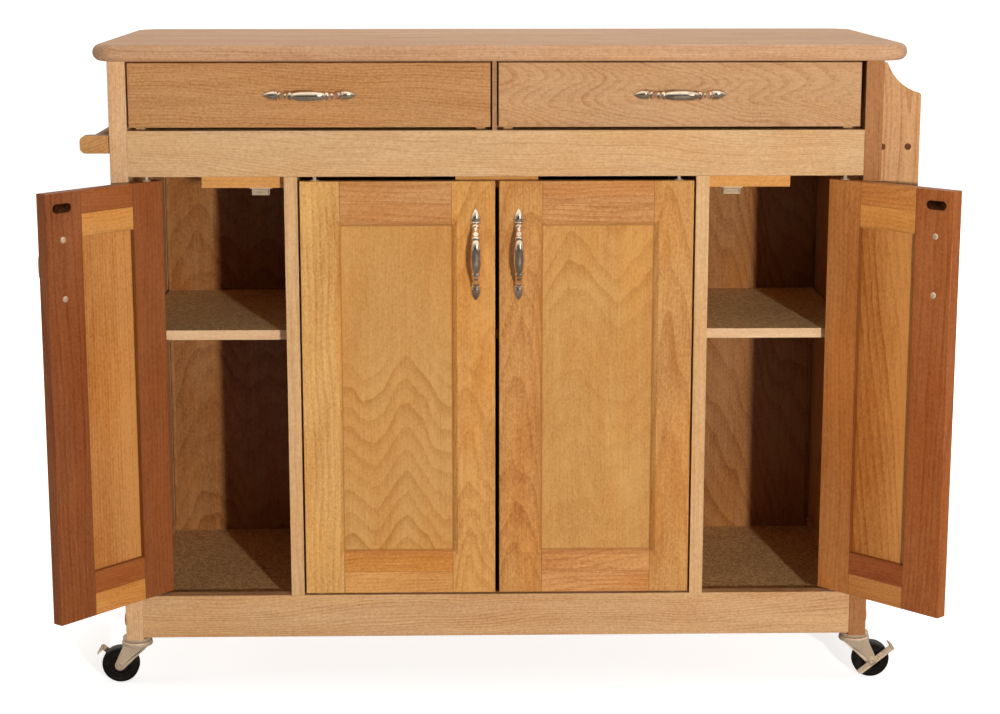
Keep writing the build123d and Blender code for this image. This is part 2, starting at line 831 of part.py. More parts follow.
def caster(name, x, y, outward, braked):
    """The fork, the wheel and, when braked, the brake lever, trailing to one side of the leg."""
    seat = Plane((x, y, 0), (outward, 0, 0), (0, 0, 1))
    side_view = Plane(seat.from_local_coords((caster_trail, 0, wheel_radius)), (outward, 0, 0),
                      (0, -outward, 0))
    axle_end = brake_outer if braked else fork_outer
    with BuildPart() as fork:
        with BuildSketch(seat.offset(fork_cap_bottom)):
            Circle(fork_cap_radius)
        extrude(amount=fork_cap_thickness)
        with BuildSketch(seat.offset(fork_cap_bottom)):
            Circle(kingpin_radius + kingpin_play)
        extrude(amount=fork_cap_thickness, mode=Mode.SUBTRACT)
        for near, far in ((fork_inner, fork_outer), (-fork_outer, -fork_inner)):
            with BuildSketch(side_view.offset(near)):
                Circle(fork_end_radius)
                span(-caster_trail - fork_plate_back, -caster_trail + fork_plate_front,
                     fork_cap_bottom - wheel_radius - fork_plate_root, fork_cap_bottom - wheel_radius)
                make_hull()
            extrude(amount=far - near)
        with BuildSketch(side_view.offset(-fork_outer - rivet_height)):
            Circle(rivet_radius)
        extrude(amount=rivet_height)
        with BuildSketch(side_view.offset(-fork_outer)):
            Circle(axle_radius)
        extrude(amount=fork_outer + axle_end)
        with BuildSketch(side_view.offset(axle_end)):
            Circle(rivet_radius)
        extrude(amount=rivet_height)
    write(f"{name}_fork", fork.part)

    half_width = wheel_width / 2
    hub_face = half_width - wheel_hub_recess
    wheel_section = Plane(side_view.origin, side_view.x_dir, -side_view.y_dir)
    with BuildPart() as wheel:
        with BuildSketch(wheel_section) as section:
            with BuildLine():
                Polyline(
                    (0, half_width), (wheel_bearing_radius, half_width), (wheel_bearing_radius, hub_face),
                    (wheel_hub_radius, hub_face), (wheel_hub_radius, half_width), (wheel_radius, half_width),
                    (wheel_radius, -half_width), (wheel_hub_radius, -half_width),
                    (wheel_hub_radius, -hub_face), (wheel_bearing_radius, -hub_face),
                    (wheel_bearing_radius, -half_width), (0, -half_width), close=True,
                )
            make_face()
            tread = [v for v in section.vertices() if v.X > wheel_hub_radius + wheel_tread_round]
            fillet(tread, wheel_tread_round)
        revolve(axis=Axis(side_view.origin, side_view.z_dir))
        with BuildSketch(side_view.offset(-half_width)):
            Circle(axle_radius + axle_play)
        extrude(amount=wheel_width, mode=Mode.SUBTRACT)
    write(f"{name}_wheel", wheel.part)

    if braked:
        with BuildPart() as lever:
            with BuildSketch(side_view.offset(brake_inner)):
                with Locations((brake_toe_across, brake_toe_rise), (-brake_heel_across, -brake_heel_drop)):
                    Circle(brake_arm_radius)
                make_hull()
            extrude(amount=brake_thickness)
            with BuildSketch(side_view.offset(brake_inner)):
                Circle(brake_hub_radius)
            extrude(amount=brake_thickness)
            with BuildSketch(side_view.offset(-half_width)):
                with Locations(Location((brake_toe_across + brake_arm_radius / 2, brake_toe_rise), 45)):
                    Rectangle(brake_thickness, brake_tab_width)
            extrude(amount=half_width + brake_outer)
            with BuildSketch(side_view.offset(brake_inner)):
                Circle(axle_radius + axle_play)
            extrude(amount=brake_thickness, mode=Mode.SUBTRACT)
        write(f"{name}_brake", lever.part)


write(
    "caster_stems",
    *[caster_stem(side * post_centre, row) for side in (-1, 1) for row in post_rows],
)
caster("caster_front_left", -post_centre, post_rows[0], -1, True)
caster("caster_front_right", post_centre, post_rows[0], 1, True)
caster("caster_rear_left", -post_centre, post_rows[1], -1, False)
caster("caster_rear_right", post_centre, post_rows[1], 1, False)
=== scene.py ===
# %% [markdown]
# # A butcher block kitchen cart
#
# The cart is a varnished wooden cabinet on four casters. It has a round-nosed worktop, two drawers, four framed
# doors, a towel bar on its left side and a spice rack on its right. Its boards come ready made at their real sizes,
# so this lesson is about what makes them look like the real thing: grain that runs the right way in every board,
# glued strips of slightly different tone, thin varnish, and the small metal pieces.

# %% Load the cart
from math import acos, atan2, cos, hypot, pi, radians, sin

import bmesh
import bpy
from mathutils import Matrix, Vector


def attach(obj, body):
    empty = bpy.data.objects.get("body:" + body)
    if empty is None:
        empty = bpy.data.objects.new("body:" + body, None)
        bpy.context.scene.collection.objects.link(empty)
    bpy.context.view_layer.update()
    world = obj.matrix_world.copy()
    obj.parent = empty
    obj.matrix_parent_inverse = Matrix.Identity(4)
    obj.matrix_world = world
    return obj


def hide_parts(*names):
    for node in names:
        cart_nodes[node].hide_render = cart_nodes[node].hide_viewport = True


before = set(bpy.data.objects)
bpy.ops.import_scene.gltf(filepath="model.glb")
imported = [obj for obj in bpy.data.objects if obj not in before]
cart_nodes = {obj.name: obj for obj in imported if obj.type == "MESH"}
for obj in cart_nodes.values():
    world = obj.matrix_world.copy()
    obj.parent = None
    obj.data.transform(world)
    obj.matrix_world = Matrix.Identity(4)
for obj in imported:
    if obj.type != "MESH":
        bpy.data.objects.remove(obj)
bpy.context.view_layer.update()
bpy.ops.object.select_all(action="DESELECT")

# %% [markdown]
# ## The camera
#
# A camera could be placed by eye, but this one was worked out from the straight edges of the real cart: a long lens,
# 2.85 m in front, a little above the worktop and tipped down by 11 degrees. A long lens keeps the cabinet's
# uprights nearly parallel.

# %% Place the camera
camera_data = bpy.data.cameras.new("front_camera")
camera_data.lens = 77.88
camera_data.sensor_width = 36.0
camera_data.clip_end = 200.0
camera = bpy.data.objects.new("front_camera", camera_data)
camera.location = (-0.0592, -2.9969, 1.0272)
camera.rotation_euler = (radians(90 - 11.275), 0, radians(-1.267))
bpy.context.scene.collection.objects.link(camera)
bpy.context.scene.camera = camera
print("lens", camera_data.lens, "mm, at", [round(v, 2) for v in camera.location])

# %% [markdown]
# ## A few helpers for node trees
#
# Every finish below is a tree of nodes. Adding a node, giving its sockets values or links and doing a sum are the
# things that such a tree repeats, so each gets a short function.

# %% Helpers for node trees


def add(tree, kind, **settings):
    """A new node in a tree, with its settings."""
    node = tree.nodes.new(kind)
    for key, value in settings.items():
        setattr(node, key, value)
    return node


def feed(tree, socket, value):
    """Link a socket when the value is one, or else write the value into it."""
    if isinstance(value, bpy.types.NodeSocket):
        tree.links.new(value, socket)
    elif value is not None:
        socket.default_value = value


def calc(tree, operation, *values, clamp=False):
    """One Math node."""
    node = add(tree, "ShaderNodeMath", operation=operation, use_clamp=clamp)
    for socket, value in zip(node.inputs, values):
        feed(tree, socket, value)
    return node.outputs[0]


def smooth_step(tree, value, low, high, out_low=0.0, out_high=1.0):
    """A soft change from one number to another as the value passes from low to high."""
    node = add(tree, "ShaderNodeMapRange", interpolation_type="SMOOTHSTEP")
    for socket, number in zip(node.inputs, (value, low, high, out_low, out_high)):
        feed(tree, socket, number)
    return node.outputs[0]


def mix_colors(tree, factor, first, second, mode="MIX"):
    """One Mix node for colours."""
    node = add(tree, "ShaderNodeMix", data_type="RGBA", blend_type=mode)
    for index, value in ((0, factor), (6, first), (7, second)):
        feed(tree, node.inputs[index], value)
    return node.outputs[2]


def mix_vectors(tree, factor, first, second):
    """One Mix node for vectors."""
    node = add(tree, "ShaderNodeMix", data_type="VECTOR")
    for index, value in ((0, factor), (4, first), (5, second)):
        feed(tree, node.inputs[index], value)
    return node.outputs[1]


# %% [markdown]
# A place on the cart is a vector, and a pattern is a number worked out from it. These functions take vectors
# apart, put them together and stretch them, and read a noise or a fixed random number at a place.

# %% Helpers for places and patterns


def join_xyz(tree, x, y, z):
    """Three numbers as a vector."""
    node = add(tree, "ShaderNodeCombineXYZ")
    for socket, value in zip(node.inputs, (x, y, z)):
        feed(tree, socket, value)
    return node.outputs[0]


def split_xyz(tree, vector):
    """A vector as three numbers."""
    node = add(tree, "ShaderNodeSeparateXYZ")
    feed(tree, node.inputs[0], vector)
    return node.outputs


def stretched(tree, vector, scale):
    """A vector with each of its three numbers scaled on its own."""
    node = add(tree, "ShaderNodeVectorMath", operation="MULTIPLY")
    feed(tree, node.inputs[0], vector)
    node.inputs[1].default_value = scale
    return node.outputs[0]


def noise(tree, vector, scale=1.0, detail=2.0, rough=0.5):
    """A Noise Texture's value, from 0 to 1."""
    node = add(tree, "ShaderNodeTexNoise")
    for key, value in (("Vector", vector), ("Scale", scale), ("Detail", detail), ("Roughness", rough)):
        feed(tree, node.inputs[key], value)
    return node.outputs["Fac"]


def object_place(tree):
    """The place on the cart, in metres."""
    return add(tree, "ShaderNodeTexCoord").outputs["Object"]


def dice(tree, number):
    """A random number from 0 to 1 that stays the same for the same input."""
    node = add(tree, "ShaderNodeTexWhiteNoise", noise_dimensions="1D")
    feed(tree, node.inputs["W"], number)
    return node.outputs["Value"]


# %% [markdown]
# A tree that many finishes share becomes a node group with named sockets. Colours are written here as they look
# on a screen, but a shader wants them linear, so one function turns the first into the second.

# %% Helpers for groups and colours


def new_group(name, inputs, outputs):
    """An empty node group with named sockets, given as (name, kind, default)."""
    tree = bpy.data.node_groups.new(name, "ShaderNodeTree")
    for label, kind, value in inputs:
        socket = tree.interface.new_socket(name=label, in_out="INPUT", socket_type="NodeSocket" + kind)
        if value is not None:
            socket.default_value = value
    for label, kind in outputs:
        tree.interface.new_socket(name=label, in_out="OUTPUT", socket_type="NodeSocket" + kind)
    return tree, add(tree, "NodeGroupInput").outputs, add(tree, "NodeGroupOutput").inputs


def fill(tree, node, **values):
    """A node's outputs, once its inputs are fed by name, with underscores for spaces."""
    for key, value in values.items():
        feed(tree, node.inputs[key.replace("_", " ")], value)
    return node.outputs


def use_group(tree, group, **values):
    """A group placed in a tree."""
    return fill(tree, add(tree, "ShaderNodeGroup", node_tree=group), **values)


def varied_surface(tree, bump, height, **values):
    """The shader of a surface with a slight relief, and the material's output."""
    shader = add(tree, "ShaderNodeBsdfPrincipled")
    relief = fill(tree, add(tree, "ShaderNodeBump"), Strength=1.0, Distance=bump, Height=height)
    fill(tree, shader, Normal=relief[0], **values)
    fill(tree, add(tree, "ShaderNodeOutputMaterial"), Surface=shader.outputs[0])


def srgb(red, green, blue):
    """A colour written as on a screen, from 0 to 255, as the linear colour that a shader wants."""
    def linear(value):
        value /= 255
        return value / 12.92 if value <= 0.04045 else ((value + 0.055) / 1.055) ** 2.4
    return (linear(red), linear(green), linear(blue), 1.0)


print("middle grey is", round(srgb(128, 128, 128)[0], 3), "to a shader")


# %% [markdown]
# ## Light, floor and background
#
# The cart stands in one clear, small light to the right of the camera. The shadows of the two uprights inside the
# open bays tell where it stands: they meet about 0.93 m to the right and 3.56 m in front of the cart, low enough
# that no shelf throws a shadow down the back. A soft lamp above lights the worktop without reaching into the bays,
# and one on each side and one behind keep those sides readable. Bare metal shows its surroundings more than its own
# colour, so a reflection sees a dark room behind the camera, a bright ceiling and one bright box at the upper
# right, while the camera itself sees plain white.

# %% Hang the lamps
scene = bpy.context.scene
scene.view_settings.view_transform = "Standard"


def lamp(name, place, target, size, watts, color=(1, 1, 1)):
    """A round area lamp that faces a point on the cart, and that no reflection shows."""
    data = bpy.data.lights.new(name, "AREA")
    data.shape = "DISK"
    data.size = size
    data.energy = watts
    data.color = color
    piece = bpy.data.objects.new(name, data)
    piece.location = place
    piece.rotation_euler = (Vector(target) - Vector(place)).to_track_quat("-Z", "Y").to_euler()
    piece.visible_glossy = False
    scene.collection.objects.link(piece)
    return piece


lamp("key_lamp", (0.93, -3.56, 0.88), (0.0, 0.0, 0.45), 0.13, 108)
lamp("top_lamp", (0.1, 0.5, 2.9), (0.0, 0.1, 0.8), 1.6, 34)
lamp("left_lamp", (-4.2, -0.3, 1.2), (-0.5, 0.1, 0.5), 1.8, 26)
lamp("right_lamp", (4.2, -0.3, 1.2), (0.5, 0.1, 0.5), 1.8, 26)
lamp("back_lamp", (0.6, 4.6, 1.5), (0.0, 0.2, 0.4), 1.8, 60)
print("the key lamp stands", round(hypot(0.93, 3.56), 2), "m from the cart's middle")

# %% [markdown]
# The world is three backgrounds in one. Ordinary rays get a dim even light, mirrored rays get the dark room,
# the ceiling and the bright box, and the camera's own rays get plain white.

# %% Paint the room
world = bpy.data.worlds.new("studio")
scene.world = world
world.use_nodes = True
room = world.node_tree
room.nodes.clear()
ray = add(room, "ShaderNodeLightPath").outputs
toward = split_xyz(room, add(room, "ShaderNodeTexCoord").outputs["Generated"])
ceiling = smooth_step(room, toward["Z"], 0.25, 0.75, 0.0, 0.9)
behind_camera = smooth_step(room, toward["Y"], -0.90, -0.35, 0.035, 0.50)
box_side = calc(
    room, "MULTIPLY", smooth_step(room, toward["X"], 0.22, 0.30), smooth_step(room, toward["X"], 0.52, 0.60, 1.0, 0.0)
)
box_height = calc(
    room, "MULTIPLY", smooth_step(room, toward["Z"], 0.05, 0.12), smooth_step(room, toward["Z"], 0.50, 0.58, 1.0, 0.0)
)
box_front = calc(room, "LESS_THAN", toward["Y"], 0.0)
soft_box = calc(room, "MULTIPLY", calc(room, "MULTIPLY", box_side, box_height), calc(room, "MULTIPLY", box_front, 2.4))
mirrored = calc(room, "ADD", calc(room, "ADD", ceiling, behind_camera), soft_box)
backgrounds = []
for strength, color in ((0.16, (1, 0.97, 0.94, 1)), (mirrored, (1, 0.94, 0.86, 1)), (1.0, (1, 1, 1, 1))):
    backgrounds.append(fill(room, add(room, "ShaderNodeBackground"), Color=color, Strength=strength)[0])
for factor, over in ((ray["Is Glossy Ray"], 1), (ray["Is Camera Ray"], 2)):
    mixed = add(room, "ShaderNodeMixShader")
    feed(room, mixed.inputs[0], factor)
    feed(room, mixed.inputs[1], backgrounds[0])
    feed(room, mixed.inputs[2], backgrounds[over])
    backgrounds[0] = mixed.outputs[0]
feed(room, add(room, "ShaderNodeOutputWorld").inputs["Surface"], backgrounds[0])
print(len(room.nodes), "nodes paint the room")

# %% [markdown]
# The floor is a wide sheet of pale paper. It keeps the cart's soft shadow, and a little light of its own, which
# only the camera sees, lets it fade into the white further out.

# %% Lay the floor


def empty_material(name):
    """A material with an empty node tree."""
    material = bpy.data.materials.new(name)
    material.use_nodes = True
    material.node_tree.nodes.clear()
    return material, material.node_tree


bpy.ops.mesh.primitive_plane_add(size=120, location=(0, 0, 0))
studio_floor = bpy.context.object
studio_floor.name = "studio_floor"
floor_paper, tree = empty_material("studio_paper")
ray = add(tree, "ShaderNodeLightPath").outputs
paper_tone = noise(tree, object_place(tree), 3.0, 3.0, 0.5)
paper_color = mix_colors(tree, paper_tone, (0.80, 0.80, 0.79, 1), (0.84, 0.84, 0.83, 1))
paper = fill(
    tree, add(tree, "ShaderNodeBsdfPrincipled"), Roughness=0.9, Specular_IOR_Level=0.1,
    Base_Color=mix_colors(tree, ray["Is Glossy Ray"], paper_color, (0.16, 0.14, 0.12, 1)),
)
lift = add(tree, "ShaderNodeEmission")
near = add(tree, "ShaderNodeVectorMath", operation="LENGTH")
feed(tree, near.inputs[0], object_place(tree))
lift_strength = smooth_step(tree, near.outputs["Value"], 0.6, 2.6, 0.70, 1.0)
feed(tree, lift.inputs["Strength"], calc(tree, "MULTIPLY", ray["Is Camera Ray"], lift_strength))
both = add(tree, "ShaderNodeAddShader")
feed(tree, both.inputs[0], paper[0])
feed(tree, both.inputs[1], lift.outputs[0])
feed(tree, add(tree, "ShaderNodeOutputMaterial").inputs["Surface"], both.outputs[0])
studio_floor.data.materials.append(floor_paper)
bpy.ops.object.select_all(action="DESELECT")
print("floor", studio_floor.dimensions[0], "m wide")

# %% [markdown]
# ## Wood, step one: strips
#
# Solid boards like these are glued up from narrow strips, and long strips from shorter lengths. It shows as bands
# of slightly different tone. Each band could be a separate object, but the real board is one smooth piece, so the
# bands are better made in the material. This group takes a point in a board's own directions (X along the grain,
# Y across the board, Z through it), finds which strip and which length the point is in, and puts out a random
# tone for it, a shifted point so that each strip gets its own grain, and a thin line at the joints.

# %% Build the group that cuts a board into strips
strips, given, result = new_group(
    "glued_strips",
    [("Board", "Vector", None), ("Strip Width", "Float", 0.04), ("Strip Length", "Float", 0.6),
     ("Seed", "Float", 0.0)],
    [("Board", "Vector"), ("Tone", "Float"), ("Joint", "Float")],
)
along, across, depth = split_xyz(strips, given["Board"])
row_place = calc(strips, "ADD", calc(strips, "DIVIDE", across, given["Strip Width"]), given["Seed"])
row = calc(strips, "FLOOR", row_place)
row_dice = dice(strips, calc(strips, "ADD", row, given["Seed"]))
length_place = calc(strips, "DIVIDE", along, given["Strip Length"])
length_place = calc(strips, "MULTIPLY_ADD", row_dice, 7.31, length_place)
length_number = calc(strips, "FLOOR", length_place)
mark = calc(strips, "MULTIPLY_ADD", length_number, 3.77, calc(strips, "MULTIPLY_ADD", row, 11.13, given["Seed"]))
tone = dice(strips, mark)
shift = calc(strips, "MULTIPLY", dice(strips, calc(strips, "ADD", mark, 0.37)), 9.0)
moved = join_xyz(
    strips,
    calc(strips, "ADD", along, shift),
    calc(strips, "MULTIPLY_ADD", shift, 0.11, across),
    calc(strips, "MULTIPLY_ADD", tone, 0.05, depth),
)
row_edge = calc(strips, "ABSOLUTE", calc(strips, "SUBTRACT", calc(strips, "FRACT", row_place), 0.5))
row_gap = calc(strips, "MULTIPLY", calc(strips, "SUBTRACT", 0.5, row_edge), given["Strip Width"])
end_edge = calc(strips, "ABSOLUTE", calc(strips, "SUBTRACT", calc(strips, "FRACT", length_place), 0.5))
end_gap = calc(strips, "MULTIPLY", calc(strips, "SUBTRACT", 0.5, end_edge), given["Strip Length"])
nearest = calc(strips, "MINIMUM", row_gap, end_gap)
feed(strips, result["Board"], moved)
feed(strips, result["Tone"], tone)
feed(strips, result["Joint"], smooth_step(strips, nearest, 0.0, 0.0007, 1.0, 0.0))
print(len(strips.nodes), "nodes cut a board into strips")

# %% [markdown]
# ## Wood, step two: grain
#
# A tree's rings are nested cones, and a board is a flat cut through them, so the lines on its face are where the
# cut crosses the rings. Far from the heart the lines run straight, near it they close into arches. A Wave texture
# could draw lines, but measuring the distance from a wandering heart line gives straight grain and arches from the
# same few numbers, and it runs on correctly round the board's edges and ends. Finer patterns lie over the
# rings: thin fibres, short flecks, a small mottle and soft clouds.

# %% Build the group that draws grain
grain, given, result = new_group(
    "wood_grain",
    [("Board", "Vector", None), ("Tone", "Float", 0.5), ("Seed", "Float", 0.0), ("Light", "Color", None),
     ("Dark", "Color", None), ("Heart Across", "Float", 0.0), ("Heart Depth", "Float", 0.05),
     ("Slope", "Float", 0.0), ("Taper", "Float", 0.05), ("Wander", "Float", 0.02), ("Ring", "Float", 0.006),
     ("Hump Height", "Float", 0.0), ("Hump Width", "Float", 0.09), ("Hump Place", "Float", 0.0),
     ("Lines", "Float", 0.5), ("Fibre", "Float", 0.3), ("Clouds", "Float", 0.3)],
    [("Color", "Color"), ("Roughness", "Float"), ("Height", "Float")],
)
seed_shift = calc(grain, "MULTIPLY", given["Seed"], 1.713)
place = add(grain, "ShaderNodeVectorMath", operation="ADD")
feed(grain, place.inputs[0], given["Board"])
feed(grain, place.inputs[1], join_xyz(grain, seed_shift, seed_shift, seed_shift))
place = place.outputs[0]
along, across, depth = split_xyz(grain, given["Board"])
bends = noise(grain, stretched(grain, place, (3.2, 9.0, 9.0)), 1.0, 2.0, 0.5)
wander = calc(grain, "MULTIPLY", calc(grain, "SUBTRACT", bends, 0.5), given["Wander"])
heart = calc(grain, "MULTIPLY_ADD", along, given["Slope"], given["Heart Across"])
side = calc(grain, "ADD", calc(grain, "SUBTRACT", across, heart), wander)
hump = calc(grain, "ADD", calc(grain, "SUBTRACT", across, given["Hump Place"]), wander)
hump = calc(grain, "COSINE", calc(grain, "DIVIDE", calc(grain, "MULTIPLY", hump, 2 * pi), given["Hump Width"]))
level = calc(grain, "MULTIPLY_ADD", hump, given["Hump Height"], along)
below = calc(grain, "ADD", given["Heart Depth"], calc(grain, "MULTIPLY_ADD", level, given["Taper"], depth))
below = calc(grain, "ADD", below, wander)
distance = calc(grain, "MULTIPLY_ADD", side, side, calc(grain, "MULTIPLY", below, below))
distance = calc(grain, "SQRT", distance)
uneven = noise(grain, stretched(grain, place, (2.5, 26.0, 26.0)), 1.0, 2.0, 0.5)
ring_count = calc(grain, "MULTIPLY_ADD", uneven, 1.6, calc(grain, "DIVIDE", distance, given["Ring"]))
phase = calc(grain, "FRACT", ring_count)
rise = calc(grain, "POWER", smooth_step(grain, phase, 0.0, 0.92), 2.2)
late_wood = calc(grain, "MULTIPLY", rise, smooth_step(grain, phase, 0.92, 1.0, 1.0, 0.0))
ring_dice = dice(grain, calc(grain, "FLOOR", ring_count))
late_wood = calc(grain, "MULTIPLY", late_wood, calc(grain, "MULTIPLY_ADD", ring_dice, 0.75, 0.25))
print(len(grain.nodes), "nodes count the rings")

# %% [markdown]
# The finer patterns are noises stretched along the grain, the finest by forty times. They add up to one
# number, which mixes the early wood's colour with the late wood's, and soft places glow a little warmer. Pores
# are small pits, so they also go into the height.

# %% Add fibres, flecks and clouds
fibres = noise(grain, stretched(grain, place, (16.0, 620.0, 620.0)), 1.0, 2.0, 0.6)
flecks = noise(grain, stretched(grain, place, (60.0, 300.0, 300.0)), 1.0, 2.0, 0.7)
mottle = noise(grain, stretched(grain, place, (230.0, 290.0, 290.0)), 1.0, 3.0, 0.75)
streaks = noise(grain, stretched(grain, place, (4.0, 90.0, 90.0)), 1.0, 2.0, 0.6)
clouds = noise(grain, stretched(grain, place, (6.0, 20.0, 20.0)), 1.0, 3.0, 0.6)
pores = smooth_step(grain, noise(grain, stretched(grain, place, (170.0, 900.0, 900.0)), 1.0, 0.0), 0.66, 0.76)
amount = calc(grain, "MULTIPLY", calc(grain, "SUBTRACT", late_wood, 0.22), given["Lines"])
thin = calc(grain, "MULTIPLY_ADD", flecks, 0.5, -0.25)
thin = calc(grain, "ADD", calc(grain, "MULTIPLY_ADD", fibres, 1.0, -0.5), thin)
thin = calc(grain, "ADD", calc(grain, "MULTIPLY_ADD", streaks, 0.6, -0.3), thin)
thin = calc(grain, "ADD", calc(grain, "MULTIPLY_ADD", mottle, 2.2, -1.1), thin)
amount = calc(grain, "MULTIPLY_ADD", thin, calc(grain, "MULTIPLY", given["Fibre"], 1.4), amount)
broad = calc(grain, "ADD", calc(grain, "MULTIPLY_ADD", clouds, 2.0, given["Tone"]), -1.5)
amount = calc(grain, "MULTIPLY_ADD", broad, given["Clouds"], amount)
amount = calc(grain, "MULTIPLY_ADD", pores, calc(grain, "MULTIPLY", given["Fibre"], 0.4), amount)
amount = calc(grain, "ADD", amount, 0.40, clamp=True)
plain_color = mix_colors(grain, amount, given["Light"], given["Dark"])
glow = noise(grain, stretched(grain, place, (5.0, 16.0, 16.0)), 1.0, 2.0, 0.5)
glow_share = calc(grain, "MULTIPLY", given["Clouds"], 1.6)
glow = calc(grain, "MULTIPLY", smooth_step(grain, glow, 0.42, 0.72), glow_share, clamp=True)
warm_color = mix_colors(grain, 1.0, plain_color, (1.0, 0.86, 0.62, 1.0), "MULTIPLY")
feed(grain, result["Color"], mix_colors(grain, glow, plain_color, warm_color))
rough = calc(grain, "MULTIPLY_ADD", late_wood, 0.06, 0.38)
feed(grain, result["Roughness"], calc(grain, "MULTIPLY_ADD", fibres, 0.14, rough))
relief = calc(grain, "MULTIPLY_ADD", pores, -0.7, calc(grain, "MULTIPLY", fibres, 0.5))
feed(grain, result["Height"], calc(grain, "MULTIPLY_ADD", late_wood, -0.25, relief))
print(len(grain.nodes), "nodes draw the grain")

# %% [markdown]
# ## Wood, step three: a varnished board
#
# A board's late wood is darker and redder than its early wood, so one middle colour and a contrast give both.
# Varnish yellows the wood under it, so it takes most from the blue.

# %% Work out the two colours
varnish = (0.955, 0.945, 0.87)


def two_tones(color, contrast):
    """The early and the late wood's colours under varnish, the late one darker and redder."""
    color = [channel * share for channel, share in zip(color, varnish)]
    light = srgb(*[channel + (255 - channel) * 0.30 * contrast for channel in color])
    red, green, blue = color
    dark = srgb(red * (1 - 0.42 * contrast), green * (1 - 0.60 * contrast), blue * (1 - 0.75 * contrast))
    return light, dark


early, late = two_tones((203, 156, 122), 0.42)
print("early wood", [round(part, 2) for part in early[:3]], "late wood", [round(part, 2) for part in late[:3]])

# %% [markdown]
# Grain runs along a board, so a place on the cart is first put in the board's own order: along, across and
# through. A door that stands open has its coordinates turned back with it. The varnish is a thin clear coat,
# which the shader's own coat gives.

# %% Find the board's own order, and varnish it


def board_point(tree, grain_along, grain_across, origin=(0, 0, 0), turn=0.0):
    """Object coordinates in a board's own order: along the grain, across it and through the board."""
    place = object_place(tree)
    if turn or any(origin):
        turned_back = add(tree, "ShaderNodeMapping", vector_type="TEXTURE")
        place = fill(tree, turned_back, Vector=place, Location=origin, Rotation=(0, 0, turn))[0]
    parts = split_xyz(tree, place)
    left_over = ({"X", "Y", "Z"} - {grain_along, grain_across}).pop()
    return join_xyz(tree, parts[grain_along], parts[grain_across], parts[left_over])


def finish_wood(tree, color, rough, height, coat=0.25, bump=0.00010):
    """The shader of varnished wood, fed with what the grain puts out."""
    varied_surface(
        tree, bump, height, Base_Color=color, Roughness=rough, Specular_IOR_Level=0.25, Coat_Weight=coat,
        Coat_Roughness=0.26,
    )


# %% [markdown]
# The same two groups serve every board. What changes is which way the grain runs, how wide the strips are, how
# near the heart the board was cut, and its colour.

# %% Make a board's wood
pivot_inset, door_low, door_high = 0.0198, 0.1305, 0.6965
hinge_stile, free_stile, rail_width = 0.053, 0.058, 0.060


def from_opening(tree, u, z, width):
    """How far a point of a door lies outside the opening that its sticks leave for the panel."""
    middle_u, half_u = (hinge_stile + width - free_stile) / 2, (width - free_stile - hinge_stile) / 2
    middle_z, half_z = (door_low + door_high) / 2, (door_high - door_low) / 2 - rail_width
    beside = calc(tree, "SUBTRACT", calc(tree, "ABSOLUTE", calc(tree, "SUBTRACT", u, middle_u)), half_u)
    above = calc(tree, "SUBTRACT", calc(tree, "ABSOLUTE", calc(tree, "SUBTRACT", z, middle_z)), half_z)
    return calc(tree, "MAXIMUM", beside, above)


def wood(name, color, contrast=0.42, along="X", across="Z", strip=None, seed=0.0, joint=0.35,
         heart=(0.0, 0.05), slope=0.0, taper=0.05, wander=0.02, ring=0.006, hump=(0.0, 0.09, 0.0), lines=0.5,
         fade=None, tone=None, panel=None, front=None, fibre=0.4, clouds=0.25, coat=0.25, origin=(0, 0, 0), turn=0.0):
    """Varnished wood for a board.

    strip is (width, length) of what it's glued from, heart is (across, depth) of the tree's heart, hump is (height,
    width, place) of the waves in its figure, and fade is (from, to, share), the stretch of the grain along which
    the lines change from full strength to that share. tone is (from, to, start, end), the stretch across the board
    along which it darkens from start to end. panel is (hand, width) of a door whose panel this is, which gets a
    painted shade line round its edge, by the frame. front is the colour of its front face, where that is another.
    """
    material, tree = empty_material(name)
    light, dark = two_tones(color, contrast)
    point = board_point(tree, along, across, origin, turn)
    if front:
        outside = smooth_step(tree, split_xyz(tree, point)["Z"], -0.001, 0.001, 1.0, 0.0)
        front_light, front_dark = two_tones(front, contrast)
        light = mix_colors(tree, outside, light, front_light)
        dark = mix_colors(tree, outside, dark, front_dark)
    cut = dict(Board=point, Tone=0.5, Joint=0.0)
    if strip:
        cut = use_group(tree, strips, Board=point, Strip_Width=strip[0], Strip_Length=strip[1], Seed=seed)
    if tone:
        cut["Tone"] = smooth_step(tree, split_xyz(tree, point)["Y"], *tone)
    if fade:
        lines = smooth_step(tree, split_xyz(tree, point)["X"], fade[0], fade[1], lines, lines * fade[2])
    drawn = use_group(
        tree, grain, Board=cut["Board"], Tone=cut["Tone"], Seed=seed, Light=light, Dark=dark,
        Heart_Across=heart[0], Heart_Depth=heart[1], Slope=slope, Taper=taper, Wander=wander, Ring=ring,
        Hump_Height=hump[0], Hump_Width=hump[1], Hump_Place=hump[2], Lines=lines, Fibre=fibre, Clouds=clouds,
    )
    joint_line_or_rim_shade = calc(tree, "MULTIPLY", cut["Joint"], joint)
    # Painted shade: a door panel gets a dark line round its edge, where it meets the frame.
    if panel:
        parts = split_xyz(tree, point)
        from_hinge = calc(tree, "MULTIPLY_ADD", parts["Y"], panel[0], pivot_inset)
        inside = calc(tree, "MULTIPLY", from_opening(tree, from_hinge, parts["X"], panel[1]), -1.0)
        joint_line_or_rim_shade = smooth_step(tree, inside, 0.0, 0.0016, 0.75, 0.0)
    finish_wood(tree, mix_colors(tree, joint_line_or_rim_shade, drawn["Color"], dark), drawn["Roughness"], drawn["Height"], coat)
    return material


def dress(material, *names):
    """Give ready-made pieces a material."""
    for name in names:
        mesh = cart_nodes[name].data
        mesh.materials.clear()
        mesh.materials.append(material)
    print(material.name, "on", *names)


# %% [markdown]
# ## The worktop
#
# The slab is glued up from long staves of pale maple, about 38 mm wide, with their ends staggered. It is oiled, so
# its sheen is softer than the cabinet's varnish.

